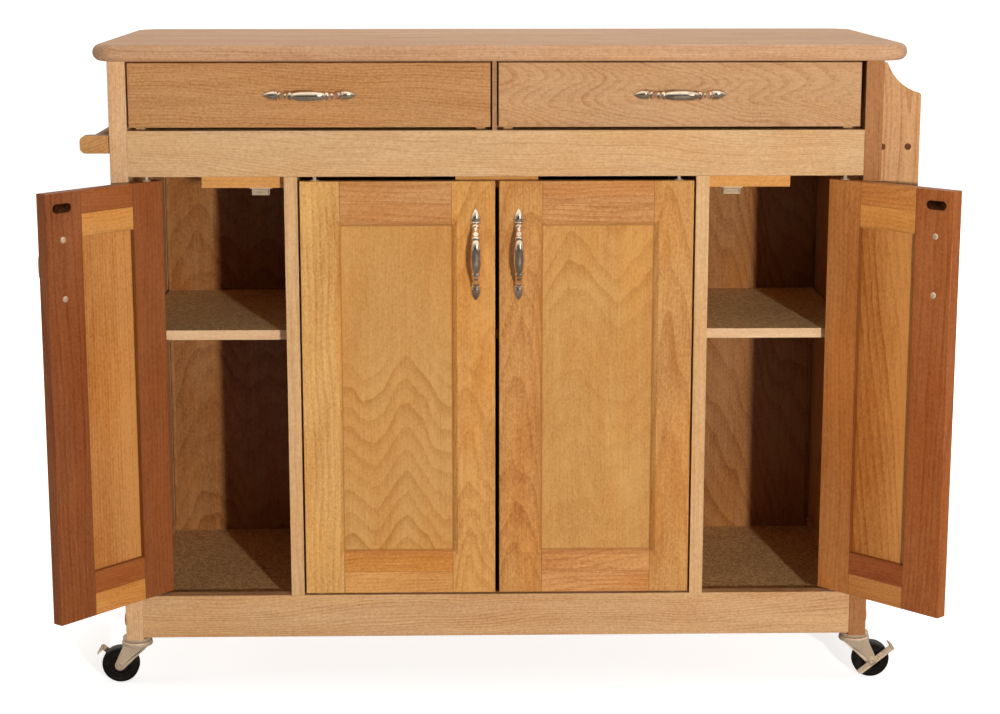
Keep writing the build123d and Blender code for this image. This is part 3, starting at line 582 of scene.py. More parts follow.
# %% Dress the worktop
dress(wood(
    "worktop_maple", (203, 156, 122), along="X", across="Y", strip=(0.038, 0.62), seed=3.0,
    joint=0.25, heart=(0.35, 0.25), taper=0.01, wander=0.012, ring=0.0035, lines=0.3, fibre=0.45, clouds=0.22,
    coat=0.12,
), "worktop")

# %% [markdown]
# ## The posts, rails and drawers
#
# The frame is pale birch. The rails run across with fine, nearly straight lines, and the posts run upwards. The
# right front post is a darker stick than the left one, as real timber often is, so each gets its own colour.

# %% Dress posts and rails
dress(wood(
    "rail_birch", (212, 170, 128), contrast=0.36, seed=5.0,
    heart=(0.95, 0.10), slope=-0.03, taper=0.02, wander=0.05, ring=0.0034, lines=0.35, fibre=0.42, clouds=0.26,
), "apron_rail")
dress(wood(
    "toe_birch", (211, 164, 119), seed=6.0,
    heart=(-0.45, 0.10), slope=0.02, taper=0.03, wander=0.06, ring=0.0036, lines=0.4, fibre=0.45, clouds=0.26,
), "toe_rail")
dress(wood(
    "left_post_birch", (224, 180, 142), along="Z", across="X", seed=8.0,
    heart=(0.20, 0.10), taper=0.01, ring=0.0030, lines=0.3, clouds=0.3,
), "post_front_left", "post_rear_left")
dress(wood(
    "right_post_birch", (168, 108, 60), along="Z", across="X", seed=9.0,
    heart=(0.20, 0.10), taper=0.01, ring=0.0030, lines=0.3, clouds=0.3,
), "post_front_right", "post_rear_right")
dress(wood(
    "side_rail_birch", (204, 152, 100), along="Y", across="Z", seed=12.0,
    heart=(0.10, 0.30), taper=0.012, wander=0.016, ring=0.0035, lines=0.35, clouds=0.25,
), "frame_rails")

# %% [markdown]
# The two drawer fronts were cut from different boards: the left one is plain and a little greener, the right
# one is paler with an arch near its right end. Their boxes, the guides and the cleats are plainer timber.

# %% Dress the drawer fronts and what is behind them
dress(wood(
    "drawer_left_birch", (190, 134, 81), seed=15.0,
    heart=(0.30, 0.05), slope=-0.05, taper=0.04, wander=0.05, ring=0.0040, lines=0.42, fibre=0.5, clouds=0.22,
), "drawer_left_front")
dress(wood(
    "drawer_right_birch", (195, 148, 106), seed=19.0,
    heart=(0.835, -0.085), taper=0.22, wander=0.06, ring=0.0048, hump=(0.03, 0.07, 0.80), lines=0.40, fibre=0.4,
    clouds=0.32,
), "drawer_right_front")
dress(wood(
    "divider_birch", (168, 118, 80), contrast=0.4, along="Y", across="Z", seed=27.0,
    heart=(0.20, 0.10), taper=0.02, wander=0.02, ring=0.006, lines=0.4, coat=0.1,
), "drawer_guides")
dress(wood(
    "inner_poplar", (204, 158, 108), contrast=0.45, along="Y", across="Z", seed=23.0,
    heart=(0.20, 0.10), taper=0.02, wander=0.02, ring=0.006, lines=0.4, coat=0.1,
), "drawer_left_box", "drawer_right_box")
dress(wood(
    "cleat_birch", (212, 150, 80), contrast=0.35, seed=25.0,
    heart=(0.50, 0.10), taper=0.02, wander=0.02, ring=0.005, lines=0.4,
), "catch_cleats")

# %% [markdown]
# ## The doors
#
# A framed door has two upright stiles, two rails between them and a thin panel. The grain runs up the stiles and
# across the rails, and a rail can itself be two glued strips of quite different tone. One material tells all
# these sticks apart by their place on the door: it turns its coordinates with the door, compares the distance from
# the hinge with the stiles' widths, and so finds the number of the stick. A stepped colour ramp then works as a
# list in which each stick looks up its own tones and its own cut.

# %% Number the sticks of a door
outer_pivot, centre_pivot, pivot_y = 0.4630, 0.24150, -0.141
stick_names = ("hinge_stile", "free_stile", "bottom_lower", "bottom_upper", "top_lower", "top_upper")


def look_up(tree, position, entries):
    """A colour ramp with hard steps, used as a list: entry 0 for positions from 0, entry 1 from 1, and so on."""
    ramp = add(tree, "ShaderNodeValToRGB")
    ramp.color_ramp.interpolation = "CONSTANT"
    elements = ramp.color_ramp.elements
    while len(elements) < len(entries):
        elements.new(1.0)
    for number, entry in enumerate(entries):
        elements[number].position = number / 8
        elements[number].color = entry
    feed(tree, ramp.inputs[0], calc(tree, "DIVIDE", calc(tree, "ADD", position, 0.5), 8.0))
    return ramp.outputs["Color"]


print(len(stick_names), "sticks to a frame")

# %% [markdown]
# The frame's material finds a point's stick, looks up that stick's tones and cut, and draws the grain along it.
# Dark lines mark where stile meets rail and where two strips are glued, and a painted shade darkens the opening's
# rim, where the bevel round the panel falls into shade. Where the front has other colours, they also cover the
# opening's edges down to the panel.

# %% Make a door frame's wood


def door_frame_wood(name, pivot_x, hand, width, angle, seed, sticks, front):
    """Wood for a door's frame, each of whose sticks is (colour, contrast, heart across, taper, ring).

    front holds the sticks of the door whose colours the front face has, where those are another's.
    """
    material, tree = empty_material(name)
    local = board_point(tree, "X", "Y", (pivot_x, pivot_y, 0), radians(-hand * angle))
    u, y, z = split_xyz(tree, local)
    u = calc(tree, "MULTIPLY_ADD", u, hand, pivot_inset)
    from_hinge = calc(tree, "SUBTRACT", u, hinge_stile)
    from_free = calc(tree, "SUBTRACT", width - free_stile, u)
    inside = calc(tree, "MINIMUM", from_hinge, from_free)
    is_rail = calc(tree, "GREATER_THAN", inside, 0.0)
    is_free = calc(tree, "GREATER_THAN", u, width / 2)
    strip_lines = (door_low + rail_width / 2, (door_low + door_high) / 2, door_high - rail_width / 2)
    above = [calc(tree, "GREATER_THAN", z, level) for level in strip_lines]
    rail_number = calc(tree, "ADD", calc(tree, "ADD", above[0], above[1]), calc(tree, "ADD", above[2], 2.0))
    number = mix_vectors(tree, is_rail, join_xyz(tree, is_free, 0.0, 0.0), join_xyz(tree, rail_number, 0.0, 0.0))
    number = split_xyz(tree, number)["X"]
    tones = [two_tones(*stick[:2]) for stick in sticks]
    light = look_up(tree, number, [tone[0] for tone in tones])
    dark = look_up(tree, number, [tone[1] for tone in tones])
    if front:
        at_opening = smooth_step(tree, from_opening(tree, u, z, width), 0.0005, 0.0010, 1.0, 0.0)
        behind = calc(tree, "MULTIPLY_ADD", at_opening, -0.0075, calc(tree, "ADD", y, 0.0075))
        outside = smooth_step(tree, behind, -0.0005, 0.0005, 1.0, 0.0)
        tones = [two_tones(*stick[:2]) for stick in front]
        light = mix_colors(tree, outside, light, look_up(tree, number, [tone[0] for tone in tones]))
        dark = mix_colors(tree, outside, dark, look_up(tree, number, [tone[1] for tone in tones]))
    cuts = [(heart + 0.5, taper, ring * 20, 1.0) for _, _, heart, taper, ring in sticks]
    cut_ramp = look_up(tree, number, cuts)
    heart_across, taper, ring = split_xyz(tree, cut_ramp)
    point = mix_vectors(tree, is_rail, join_xyz(tree, z, u, y), join_xyz(tree, u, z, y))
    board_seed = calc(tree, "MULTIPLY_ADD", number, 2.37, seed)
    drawn = use_group(
        tree, grain, Board=point, Tone=0.5, Seed=board_seed, Light=light, Dark=dark,
        Heart_Across=calc(tree, "SUBTRACT", heart_across, 0.5), Heart_Depth=0.02, Taper=taper, Wander=0.05,
        Ring=calc(tree, "DIVIDE", ring, 20.0), Lines=0.34, Fibre=0.48, Clouds=0.50,
    )
    joint = smooth_step(tree, calc(tree, "ABSOLUTE", inside), 0.0, 0.0008, 0.6, 0.0)
    glue = calc(tree, "MINIMUM", *[
        calc(tree, "ABSOLUTE", calc(tree, "SUBTRACT", z, level)) for level in (strip_lines[0], strip_lines[2])
    ])
    glue = calc(tree, "MULTIPLY", smooth_step(tree, glue, 0.0, 0.0007, 0.35, 0.0), is_rail)
    color = mix_colors(tree, calc(tree, "MAXIMUM", joint, glue), drawn["Color"], srgb(96, 50, 20))
    # Painted shade: a wide band and a thin line round the panel's opening are darkened towards deep brown.
    rim = from_opening(tree, u, z, width)
    wide_rim_shade = smooth_step(tree, rim, 0.0, 0.0045, 0.30, 0.0)
    rim = calc(tree, "MAXIMUM", wide_rim_shade, smooth_step(tree, rim, 0.0, 0.001, 0.5, 0.0))
    color = mix_colors(tree, rim, color, srgb(108, 56, 20))
    finish_wood(tree, color, drawn["Roughness"], drawn["Height"])
    return material


# %% [markdown]
# Each door has its own six sticks, as each real one has: the open doors show their darker backs, and the two in
# the middle are honey-coloured. They are listed in the order of their numbers, each with its colour, its contrast,
# how far across the tree's heart lies, its taper and the width of its rings. The list also says where a door's pin
# is, which hand it has, how wide it is and how far it stands open.

# %% List the sticks of the four doors
door_list = [
    ("door_left", -outer_pivot, 1, 0.1990, 129.5, 31.0, [
        ((140, 71, 28), 0.35, 0.20, 0.01, 0.006),
        ((132, 64, 22), 0.40, 0.30, 0.03, 0.008),
        ((208, 142, 70), 0.30, -0.30, 0.02, 0.005),
        ((156, 83, 34), 0.30, -0.30, 0.02, 0.005),
        ((205, 141, 71), 0.30, 0.45, 0.02, 0.005),
        ((149, 79, 33), 0.30, 0.45, 0.02, 0.005),
    ]),
    ("door_centre_left", -centre_pivot, 1, 0.2587, 0.0, 36.0, [
        ((220, 164, 90), 0.45, 0.10, 0.01, 0.008),
        ((210, 147, 72), 0.40, 0.228, 0.12, 0.006),
        ((214, 150, 79), 0.35, 0.10, 0.02, 0.005),
        ((208, 134, 53), 0.40, 0.10, 0.02, 0.005),
        ((196, 134, 78), 0.40, 0.40, 0.20, 0.008),
        ((198, 137, 80), 0.40, 0.40, 0.20, 0.008),
    ]),
    ("door_centre_right", centre_pivot, -1, 0.2587, 0.0, 44.0, [
        ((201, 140, 70), 0.45, 0.04, 0.08, 0.009),
        ((197, 131, 59), 0.50, 0.228, 0.14, 0.008),
        ((204, 137, 72), 0.45, 0.10, 0.06, 0.006),
        ((204, 136, 69), 0.45, 0.10, 0.06, 0.006),
        ((204, 141, 80), 0.45, 0.60, 0.03, 0.006),
        ((194, 131, 72), 0.45, 0.60, 0.03, 0.006),
    ]),
    ("door_right", outer_pivot, -1, 0.1990, 132.5, 49.0, [
        ((184, 109, 44), 0.40, 0.20, 0.03, 0.007),
        ((159, 81, 27), 0.40, 0.30, 0.02, 0.008),
        ((190, 118, 51), 0.40, -0.30, 0.03, 0.005),
        ((148, 69, 23), 0.35, -0.30, 0.03, 0.005),
        ((206, 141, 70), 0.30, 0.60, 0.02, 0.006),
        ((201, 133, 68), 0.35, 0.60, 0.02, 0.006),
    ]),
]
print(sum(len(door[6]) for door in door_list), "sticks in", len(door_list), "doors")

# %% [markdown]
# The four panels are veneer, and their figure differs most: two plain open doors, one panel with a comb of
# arches in its lower half, and one with swirls in its upper half. The humps make those waves, and a fade takes
# the lines away where the wood is plain. The open doors show their darker backs; their fronts were picked to match
# the middle pair, so that all four look alike when they are closed.

# %% Dress the four doors
panel_cuts = {
    "door_left": dict(color=(192, 121, 50), contrast=0.46, heart=(0.30, 0.10), taper=0.012, ring=0.0045,
                      wander=0.02, lines=0.36, tone=(0.03, 0.12, -0.6, 0.9), clouds=0.3, fibre=0.45),
    "door_centre_left": dict(color=(203, 146, 76), contrast=0.38, heart=(0.115, 0.26), taper=0.24, ring=0.0072,
                             wander=0.020, hump=(-0.023, 0.092, 0.125), lines=0.50, fade=(0.42, 0.50, 0.1),
                             clouds=0.32, fibre=0.36),
    "door_centre_right": dict(color=(203, 146, 75), contrast=0.38, heart=(-0.09, 0.30), taper=0.24, ring=0.0080,
                              wander=0.025, hump=(0.026, 0.130, -0.082), lines=0.16, fade=(0.44, 0.60, 2.8),
                              clouds=0.42, fibre=0.40),
    "door_right": dict(color=(194, 117, 40), contrast=0.50, heart=(0.25, 0.10), slope=0.14, taper=0.02,
                       ring=0.011, wander=0.02, lines=0.45, tone=(-0.12, -0.035, -0.4, 1.1), clouds=0.40,
                       fibre=0.45),
}
neighbours = {"door_left": "door_centre_left", "door_right": "door_centre_right"}
all_sticks = {door[0]: door[6] for door in door_list}
for name, pivot_x, hand, width, angle, seed, sticks in door_list:
    beside = neighbours.get(name)
    frame_front = all_sticks[beside] if beside else None
    panel_front = panel_cuts[beside]["color"] if beside else None
    frame_birch = door_frame_wood(f"{name}_frame_birch", pivot_x, hand, width, angle, seed, sticks, frame_front)
    dress(frame_birch, f"{name}_frame")
    dress(wood(
        f"{name}_panel_birch", along="Z", across="X", seed=seed + 2.5, front=panel_front,
        origin=(pivot_x, pivot_y, 0), turn=radians(-hand * angle), panel=(hand, width), **panel_cuts[name],
    ), f"{name}_panel")
print(len(door_list), "doors of six sticks and a panel each")

# %% [markdown]
# ## Inside the cabinet
#
# The back and sides are thin plywood with big arches in it. The shelves and the floor are pressed board: pale chips
# and dust glued together, with a strip of real wood on the shelves' front edge.

# %% Dress the inside
dress(wood(
    "back_birch", (152, 93, 41), contrast=0.50, along="Z", across="X", strip=(0.24, 40.0), seed=71.0,
    heart=(0.12, 0.0), taper=0.22, wander=0.04, ring=0.0095, hump=(0.03, 0.12, 0.0), lines=0.36, fibre=0.45,
    clouds=0.5, coat=0.1,
), "back_panel")
dress(wood(
    "side_birch", (190, 134, 82), contrast=0.50, along="Z", across="Y", seed=77.0,
    heart=(0.05, 0.03), taper=0.12, wander=0.05, ring=0.009, lines=0.5, fibre=0.3, clouds=0.3,
), "side_panel_left", "side_panel_right")


# %% [markdown]
# Pressed board is drawn as a Voronoi texture, whose cells are the chips, with dust and clouds mixed in. The
# shelves' front edge is told apart by its place.

# %% Make and lay the pressed board


def pressed_board(name, edge_y, pale, deep):
    """Pressed board with chips from pale to deep, and a wooden strip up to edge_y at its front."""
    material, tree = empty_material(name)
    place = object_place(tree)
    chips = add(tree, "ShaderNodeTexVoronoi", feature="F1")
    feed(tree, chips.inputs["Vector"], stretched(tree, place, (1.0, 0.6, 1.0)))
    chips.inputs["Scale"].default_value = 380.0
    chip_tone = split_xyz(tree, chips.outputs["Color"])[0]
    dust = noise(tree, place, 700.0, 2.0, 0.6)
    cloud = noise(tree, place, 14.0, 3.0, 0.6)
    amount = calc(tree, "MULTIPLY_ADD", chip_tone, 0.55, calc(tree, "MULTIPLY", dust, 0.5))
    amount = calc(tree, "MULTIPLY_ADD", cloud, 0.2, amount)
    core = mix_colors(tree, calc(tree, "SUBTRACT", amount, 0.15, clamp=True), pale, deep)
    strip_wood = use_group(
        tree, grain, Board=board_point(tree, "X", "Z"), Tone=0.5, Seed=83.0, Light=srgb(222, 188, 148),
        Dark=srgb(188, 142, 100), Heart_Across=0.5, Heart_Depth=0.3, Taper=0.01, Wander=0.01, Ring=0.004,
        Lines=0.3, Fibre=0.3, Clouds=0.2,
    )
    front = calc(tree, "LESS_THAN", split_xyz(tree, place)["Y"], edge_y)
    color = mix_colors(tree, front, core, strip_wood["Color"])
    finish_wood(tree, color, calc(tree, "MULTIPLY_ADD", dust, 0.2, 0.45), dust, coat=0.05, bump=0.00006)
    return material


shelf_board = pressed_board("shelf_board", -0.1152, srgb(255, 222, 164), srgb(174, 122, 66))
dress(shelf_board, "shelf_left", "shelf_centre", "shelf_right")
floor_board = pressed_board("floor_board", -1.0, srgb(228, 186, 130), srgb(126, 80, 38))
dress(floor_board, "floor_panel", "drawer_deck")
dress(wood(
    "partition_birch", (216, 172, 126), contrast=0.35, along="Z", across="Y", seed=87.0,
    heart=(0.2, 0.10), taper=0.01, wander=0.02, ring=0.005, lines=0.3, clouds=0.25,
), "partition_left", "partition_right")

# %% [markdown]
# The towel bar and the rack are solid sticks of the same birch. The rack's grain runs up its tall ends and
# arches near the front.

# %% Dress the towel bar and the rack
dress(wood(
    "rack_birch", (206, 154, 108), along="Z", across="X", seed=91.0,
    heart=(0.56, 0.08), slope=-0.02, taper=0.04, wander=0.03, ring=0.006, lines=0.5, clouds=0.25,
), "rack_ends")
dress(wood(
    "bar_birch", (200, 142, 82), along="Y", across="X", seed=95.0,
    heart=(0.0, 0.80), taper=0.01, wander=0.01, ring=0.004, lines=0.4, clouds=0.25,
), "rack_boards", "towel_brackets", "towel_rod")

# %% [markdown]
# Round wooden buttons close the bolt holes in the legs and posts. The small plugs in the rack's ends are of a dark
# wood, and as both kinds are one ready-made piece, its material tells them apart by their height.

# %% Dress the caps and plugs
caps_wood, tree = empty_material("caps_and_plugs")
place = board_point(tree, "Y", "Z")
level = split_xyz(tree, place)["Y"]
is_plug = calc(tree, "MULTIPLY", calc(tree, "GREATER_THAN", level, 0.58), calc(tree, "LESS_THAN", level, 0.75))
drawn = use_group(
    tree, grain, Board=place, Seed=97.0, Heart_Across=0.3, Heart_Depth=0.1, Taper=0.01, Wander=0.01, Ring=0.003,
    Lines=0.4, Fibre=0.4, Clouds=0.3, Light=mix_colors(tree, is_plug, srgb(206, 146, 92), srgb(112, 66, 42)),
    Dark=mix_colors(tree, is_plug, srgb(150, 92, 46), srgb(62, 34, 22)),
)
finish_wood(tree, drawn["Color"], drawn["Roughness"], drawn["Height"])
dress(caps_wood, "button_caps")

# %% [markdown]
# ## Metal and plastic
#
# The pulls are nickel with dark toning in it, the casters are thin zinc-plated steel with black moulded wheels.
# Real plating is never even, so noise changes its roughness and its colour a little.

# %% Make plated metal


def metal(name, bright, dull, rough, toning, metallic=1.0):
    """Plated metal: two colours mixed by noise, with roughness that follows them."""
    material, tree = empty_material(name)
    place = object_place(tree)
    cloud = noise(tree, place, 55.0, 4.0, 0.6)
    rub = noise(tree, stretched(tree, place, (60, 60, 60)), 12.0, 3.0, 0.6)
    amount = calc(tree, "MULTIPLY", smooth_step(tree, cloud, 0.42, 0.66), toning)
    varied_surface(
        tree, 0.00003, rub, Metallic=metallic, Base_Color=mix_colors(tree, amount, bright, dull),
        Roughness=calc(tree, "MULTIPLY_ADD", rub, rough[1] - rough[0], rough[0]),
    )
    return material


# %% [markdown]
# Moulded plastic is nearly black, with a fine skin from its mould and paler scuffs where it rubs.

# %% Make moulded plastic


def moulded(name, color, worn):
    """Moulded plastic with a fine skin and paler scuffs."""
    material, tree = empty_material(name)
    place = object_place(tree)
    cloud = noise(tree, place, 70.0, 4.0, 0.65)
    skin = noise(tree, place, 1400.0, 1.0, 0.5)
    varied_surface(
        tree, 0.00005, skin, Base_Color=mix_colors(tree, smooth_step(tree, cloud, 0.5, 0.78), color, worn),
        Roughness=calc(tree, "MULTIPLY_ADD", cloud, 0.2, 0.32),
    )
    return material


# %% [markdown]
# Four finishes are enough: bright nickel, duller zinc, the dark strike plates and the wheels' plastic. They go
# on the ready-made metal pieces here, and the modelled ones take them over later.

# %% Dress the metal pieces
nickel = metal(
    "toned_nickel", srgb(236, 220, 200), srgb(172, 146, 118), rough=(0.08, 0.22), toning=0.5, metallic=0.94
)
zinc = metal("zinc_plate", srgb(226, 202, 172), srgb(200, 174, 146), rough=(0.26, 0.44), toning=0.6, metallic=0.5)
dark_plate = metal("dark_plate", srgb(96, 62, 38), srgb(52, 32, 20), rough=(0.35, 0.55), toning=0.8)
black_plastic = moulded("black_wheel", srgb(15, 12, 11), srgb(40, 34, 30))
for name, *_ in door_list:
    dress(nickel, f"{name}_pull")
    dress(dark_plate, f"{name}_fittings")
dress(nickel, "drawer_left_pull", "drawer_right_pull")
dress(zinc, "door_catches", "shelf_clips", "caster_stems", "caster_front_left_brake", "caster_front_right_brake")
for corner in ("front_left", "front_right", "rear_left", "rear_right"):
    dress(zinc, f"caster_{corner}_fork")
    dress(black_plastic, f"caster_{corner}_wheel")

# %% [markdown]
# ## Short names for the steps of modelling
#
# Modelling by hand is a string of steps in edit mode: pick, extrude, inset, ease. Some of them repeat on every
# piece, so they get short names.

# %% Steps that repeat


def alone(piece=None):
    """Leave only this piece selected, or nothing."""
    bpy.ops.object.select_all(action="DESELECT")
    if piece:
        piece.select_set(True)
        bpy.context.view_layer.objects.active = piece


def edit(kind=None):
    """Go into edit mode, picking vertices, edges or faces."""
    bpy.ops.object.mode_set(mode="EDIT")
    if kind:
        bpy.ops.mesh.select_mode(type=kind)


def leave_edit():
    """Go back to object mode."""
    bpy.ops.object.mode_set(mode="OBJECT")


def take_all():
    """Select the whole mesh in edit mode."""
    bpy.ops.mesh.select_all(action="SELECT")


def extrude(move):
    """Extrude what is selected and carry it along a vector."""
    bpy.ops.mesh.extrude_region_move(TRANSFORM_OT_translate={"value": move})


def settled():
    """The piece at hand, with its place, turn and size written into its mesh."""
    bpy.ops.object.transform_apply(location=True, rotation=True, scale=True)
    return bpy.context.object


# %% [markdown]
# Sheet metal starts as a flat disc that is then pulled out of shape and given its thickness. Holes and screw slots
# are taken out with a cutter of their shape.

# %% Sheet metal and cutters


def disc(place, radius, count=48):
    """An upright disc that faces the front, left open in edit mode."""
    alone()
    bpy.ops.mesh.primitive_circle_add(
        vertices=count, radius=radius, fill_type="NGON", location=place, rotation=(radians(90), 0, 0)
    )
    piece = settled()
    edit("VERT")
    return piece


def thicken(depth):
    """Give an upright flat its thickness along Y, and pick faces from here on."""
    take_all()
    extrude((0, depth, 0))
    take_all()
    bpy.ops.mesh.normals_make_consistent(inside=False)
    bpy.ops.mesh.select_mode(type="FACE")


def cut_out(piece, cutter):
    """Take a cutter's shape out of a piece, and the cutter away."""
    cut = piece.modifiers.new("cut", "BOOLEAN")
    cut.operation = "DIFFERENCE"
    cut.object = cutter
    bpy.context.view_layer.objects.active = piece
    bpy.ops.object.modifier_apply(modifier="cut")
    bpy.data.objects.remove(cutter)


def in_metres(profile):
    """A profile written in millimetres."""
    return [(at / 1000, radius / 1000) for at, radius in profile]


# %% [markdown]
# ## Small turned pieces
#
# Most of the hardware is round: acorns, beads, rivets, wheels. A lathe would make it by cutting a profile, and a
# modeller can do the same by hand: start with one ring, extrude it a step along the axis, scale it to the next
# radius, and so on. The function below walks a ring along such a profile. A profile that comes back to where it
# started is left open inside and closes onto its first ring, which gives bores.

# %% A ring that walks along a profile


def turned(name, base, axis, profile, count=32, closed=False):
    """A round piece: profile is a list of (distance along the axis, radius)."""
    base, axis = Vector(base), Vector(axis).normalized()
    alone()
    place, radius = profile[0]
    bpy.ops.mesh.primitive_circle_add(
        vertices=count, radius=radius, fill_type="NOTHING" if closed else "NGON", location=base + axis * place,
        rotation=axis.to_track_quat("Z", "Y").to_euler(),
    )
    piece = settled()
    piece.name = name
    edit("VERT" if closed else "FACE")
    take_all()
    for next_place, next_radius in profile[1:]:
        extrude(axis * (next_place - place))
        factor = next_radius / radius
        bpy.ops.transform.resize(value=(factor, factor, factor), center_override=base + axis * next_place)
        place, radius = next_place, next_radius
    take_all()
    bpy.ops.mesh.remove_doubles(threshold=0.000002)
    bpy.ops.mesh.normals_make_consistent(inside=False)
    leave_edit()
    return piece


def joined(name, pieces, smooth_angle=38):
    """Several objects as one, named and shaded smooth between its creases."""
    alone()
    for piece in pieces:
        piece.select_set(True)
    bpy.context.view_layer.objects.active = pieces[0]
    if len(pieces) > 1:
        bpy.ops.object.join()
    whole = settled()
    whole.name = name
    bpy.ops.object.shade_smooth_by_angle(angle=radians(smooth_angle))
    return whole


# %% [markdown]
# Faces and corners are picked by their place or the way they face, and every pressed or cut edge is eased,
# because a truly sharp edge catches no light.

# %% Pick and ease


def select_where(piece, kind, test):
    """In edit mode, select the vertices or faces whose middle passes a test."""
    bpy.ops.mesh.select_all(action="DESELECT")
    cage = bmesh.from_edit_mesh(piece.data)
    for item in cage.faces if kind == "FACE" else cage.verts:
        middle = item.calc_center_median() if kind == "FACE" else item.co
        if test(middle, item.normal):
            item.select_set(True)
    cage.select_flush(True)
    bmesh.update_edit_mesh(piece.data)


def eased(piece, width, angle=50, segments=2):
    """Round a piece's sharp edges with a bevel that is then applied."""
    alone(piece)
    ease = piece.modifiers.new("ease", "BEVEL")
    ease.width = width
    ease.segments = segments
    ease.limit_method = "ANGLE"
    ease.angle_limit = radians(angle)
    bpy.ops.object.modifier_apply(modifier="ease")
    return piece


# %% [markdown]
# What repeats is modelled once and copied, each copy with its own mesh. A finished piece gets its finish, rides
# the body it belongs to, and stands in for the ready-made pieces that it replaces.

# %% Copy and put on


def copied(source, name, matrix):
    """A copy with its own mesh, moved by a matrix and then left at the origin, unturned."""
    piece = source.copy()
    piece.data = source.data.copy()
    piece.name = name
    bpy.context.scene.collection.objects.link(piece)
    alone(piece)
    piece.matrix_world = matrix
    return settled()


def put_on(piece, body, slot, material, *nodes):
    """Paint a piece, let it ride a body and stand for the ready-made nodes it replaces."""
    piece.data.materials.clear()
    piece.data.materials.append(material)
    for face in piece.data.polygons:
        face.material_index = 0
    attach(piece, body)
    if nodes:
        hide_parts(*nodes)


# %% [markdown]
# ## The pulls
#
# A pull is a cast nickel bow: a swelling grip between two rings, thin necks with a bead, and a pointed acorn at each
# foot that lies half sunk against the wood. The bow is a ring spun along an arc, which gives an even tube. Each of
# its rings is then scaled to the radius that the casting has there and, along the grip, sunk a little towards the
# wood. The acorns are turned whole and cut flat along the wood.

# %% Model one pull
pull_root, pull_standoff, root_height = 0.0381, 0.0240, 0.0065
bow_rise = pull_standoff - root_height
bow_radius = (pull_root**2 + bow_rise**2) / (2 * bow_rise)
root_lean = atan2(pull_root, bow_radius - bow_rise)
bow_profile = [
    (0.0, 6.2), (6.0, 6.1), (11.0, 5.8), (15.0, 5.35), (18.0, 4.9), (20.0, 4.5), (20.8, 3.9), (21.4, 3.9),
    (22.0, 4.8), (22.8, 5.25), (23.8, 5.3), (24.8, 4.9), (26.0, 4.3), (27.2, 4.0), (28.4, 4.2), (29.4, 4.35),
    (30.4, 4.1), (32.0, 3.7), (34.0, 3.5), (36.0, 3.5), (38.1, 3.8),
]


def bow_thickness(along):
    """The bow's radius at a distance along the pull, from its profile."""
    along = min(abs(along) * 1000, 38.0999)
    for (near, thick), (far, thin) in zip(bow_profile, bow_profile[1:]):
        if near <= along <= far:
            return (thick + (thin - thick) * (along - near) / (far - near)) / 1000


bow_centre = Vector((0, -(pull_standoff - bow_radius), 0))
bow_start = Vector((-pull_root, -root_height, 0))
start_direction = Vector((cos(root_lean), -sin(root_lean), 0))
bow = turned("pull", bow_start, start_direction, [(0.0, bow_thickness(pull_root))], count=24, closed=True)
bow_steps = 96
edit()
take_all()
bpy.ops.mesh.spin(steps=bow_steps, angle=-2 * root_lean, center=bow_centre, axis=(0, 0, 1))
for step in range(1, bow_steps + 1):
    lean = -root_lean + 2 * root_lean * step / bow_steps
    middle = bow_centre + Vector((sin(lean), -cos(lean), 0)) * bow_radius
    side = Vector((cos(lean), sin(lean), 0))
    select_where(bow, "VERT", lambda co, normal: abs((co - middle).dot(side)) < 0.00015)
    factor = bow_thickness(middle.x) / bow_thickness(pull_root)
    bpy.ops.transform.resize(value=(factor, factor, factor), center_override=middle)
    sunk = 0.00125 * (1 + cos(pi * min(1.0, abs(middle.x) / 0.0215)))
    bpy.ops.transform.translate(value=(0, sunk, 0))
leave_edit()
print("bow", [round(size * 1000, 1) for size in bow.dimensions])

# %% [markdown]
# Each foot is a post that comes straight out of the wood, a round knuckle where the bow meets it, and the acorn. The
# acorn's cap is its widest part, and its point dies away towards the end. The part behind the face of the wood is cut
# off with a bisect, which also fills the flat it leaves.

# %% The pull's feet
acorn_start = 0.04095
acorn_profile = [
    (0.0, 3.4), (0.2, 4.8), (0.7, 5.8), (1.5, 6.35), (2.4, 6.4), (3.2, 6.3), (3.6, 5.9), (4.1, 5.95), (5.5, 6.2),
    (7.0, 6.2), (9.0, 6.0), (11.0, 5.6), (13.0, 5.0), (15.0, 4.2), (17.0, 3.2), (18.6, 2.2), (19.8, 1.3), (20.8, 0.3),
]
feet = []
for side in (-1, 1):
    post_steps = [(0.0, 5.2), (1.6, 5.1), (2.4, 4.5), (root_height * 1000, 4.4)]
    post = turned("post", (side * pull_root, 0, 0), (0, -1, 0), in_metres(post_steps), 24)
    alone()
    bpy.ops.mesh.primitive_uv_sphere_add(
        segments=24, ring_count=14, radius=0.0048, location=(side * pull_root, -root_height, 0),
    )
    knuckle = bpy.context.object
    acorn = turned("acorn", (side * acorn_start, 0, 0), (side, 0, 0), in_metres(acorn_profile))
    edit()
    take_all()
    bpy.ops.mesh.bisect(plane_co=(0, 0, 0), plane_no=(0, 1, 0), use_fill=True, clear_outer=True)
    leave_edit()
    feet += [post, knuckle, acorn]
print("acorn", [round(size * 1000, 1) for size in feet[-1].dimensions])

# %% [markdown]
# The casting is a little wider than it is deep, so the joined pull is widened once at the end. Two screws come
# through the wood from behind. Their pan heads show on the back of the open doors, so each head is a
# low dome with a cross cut into it, taken out by a cutter of two crossed bars.

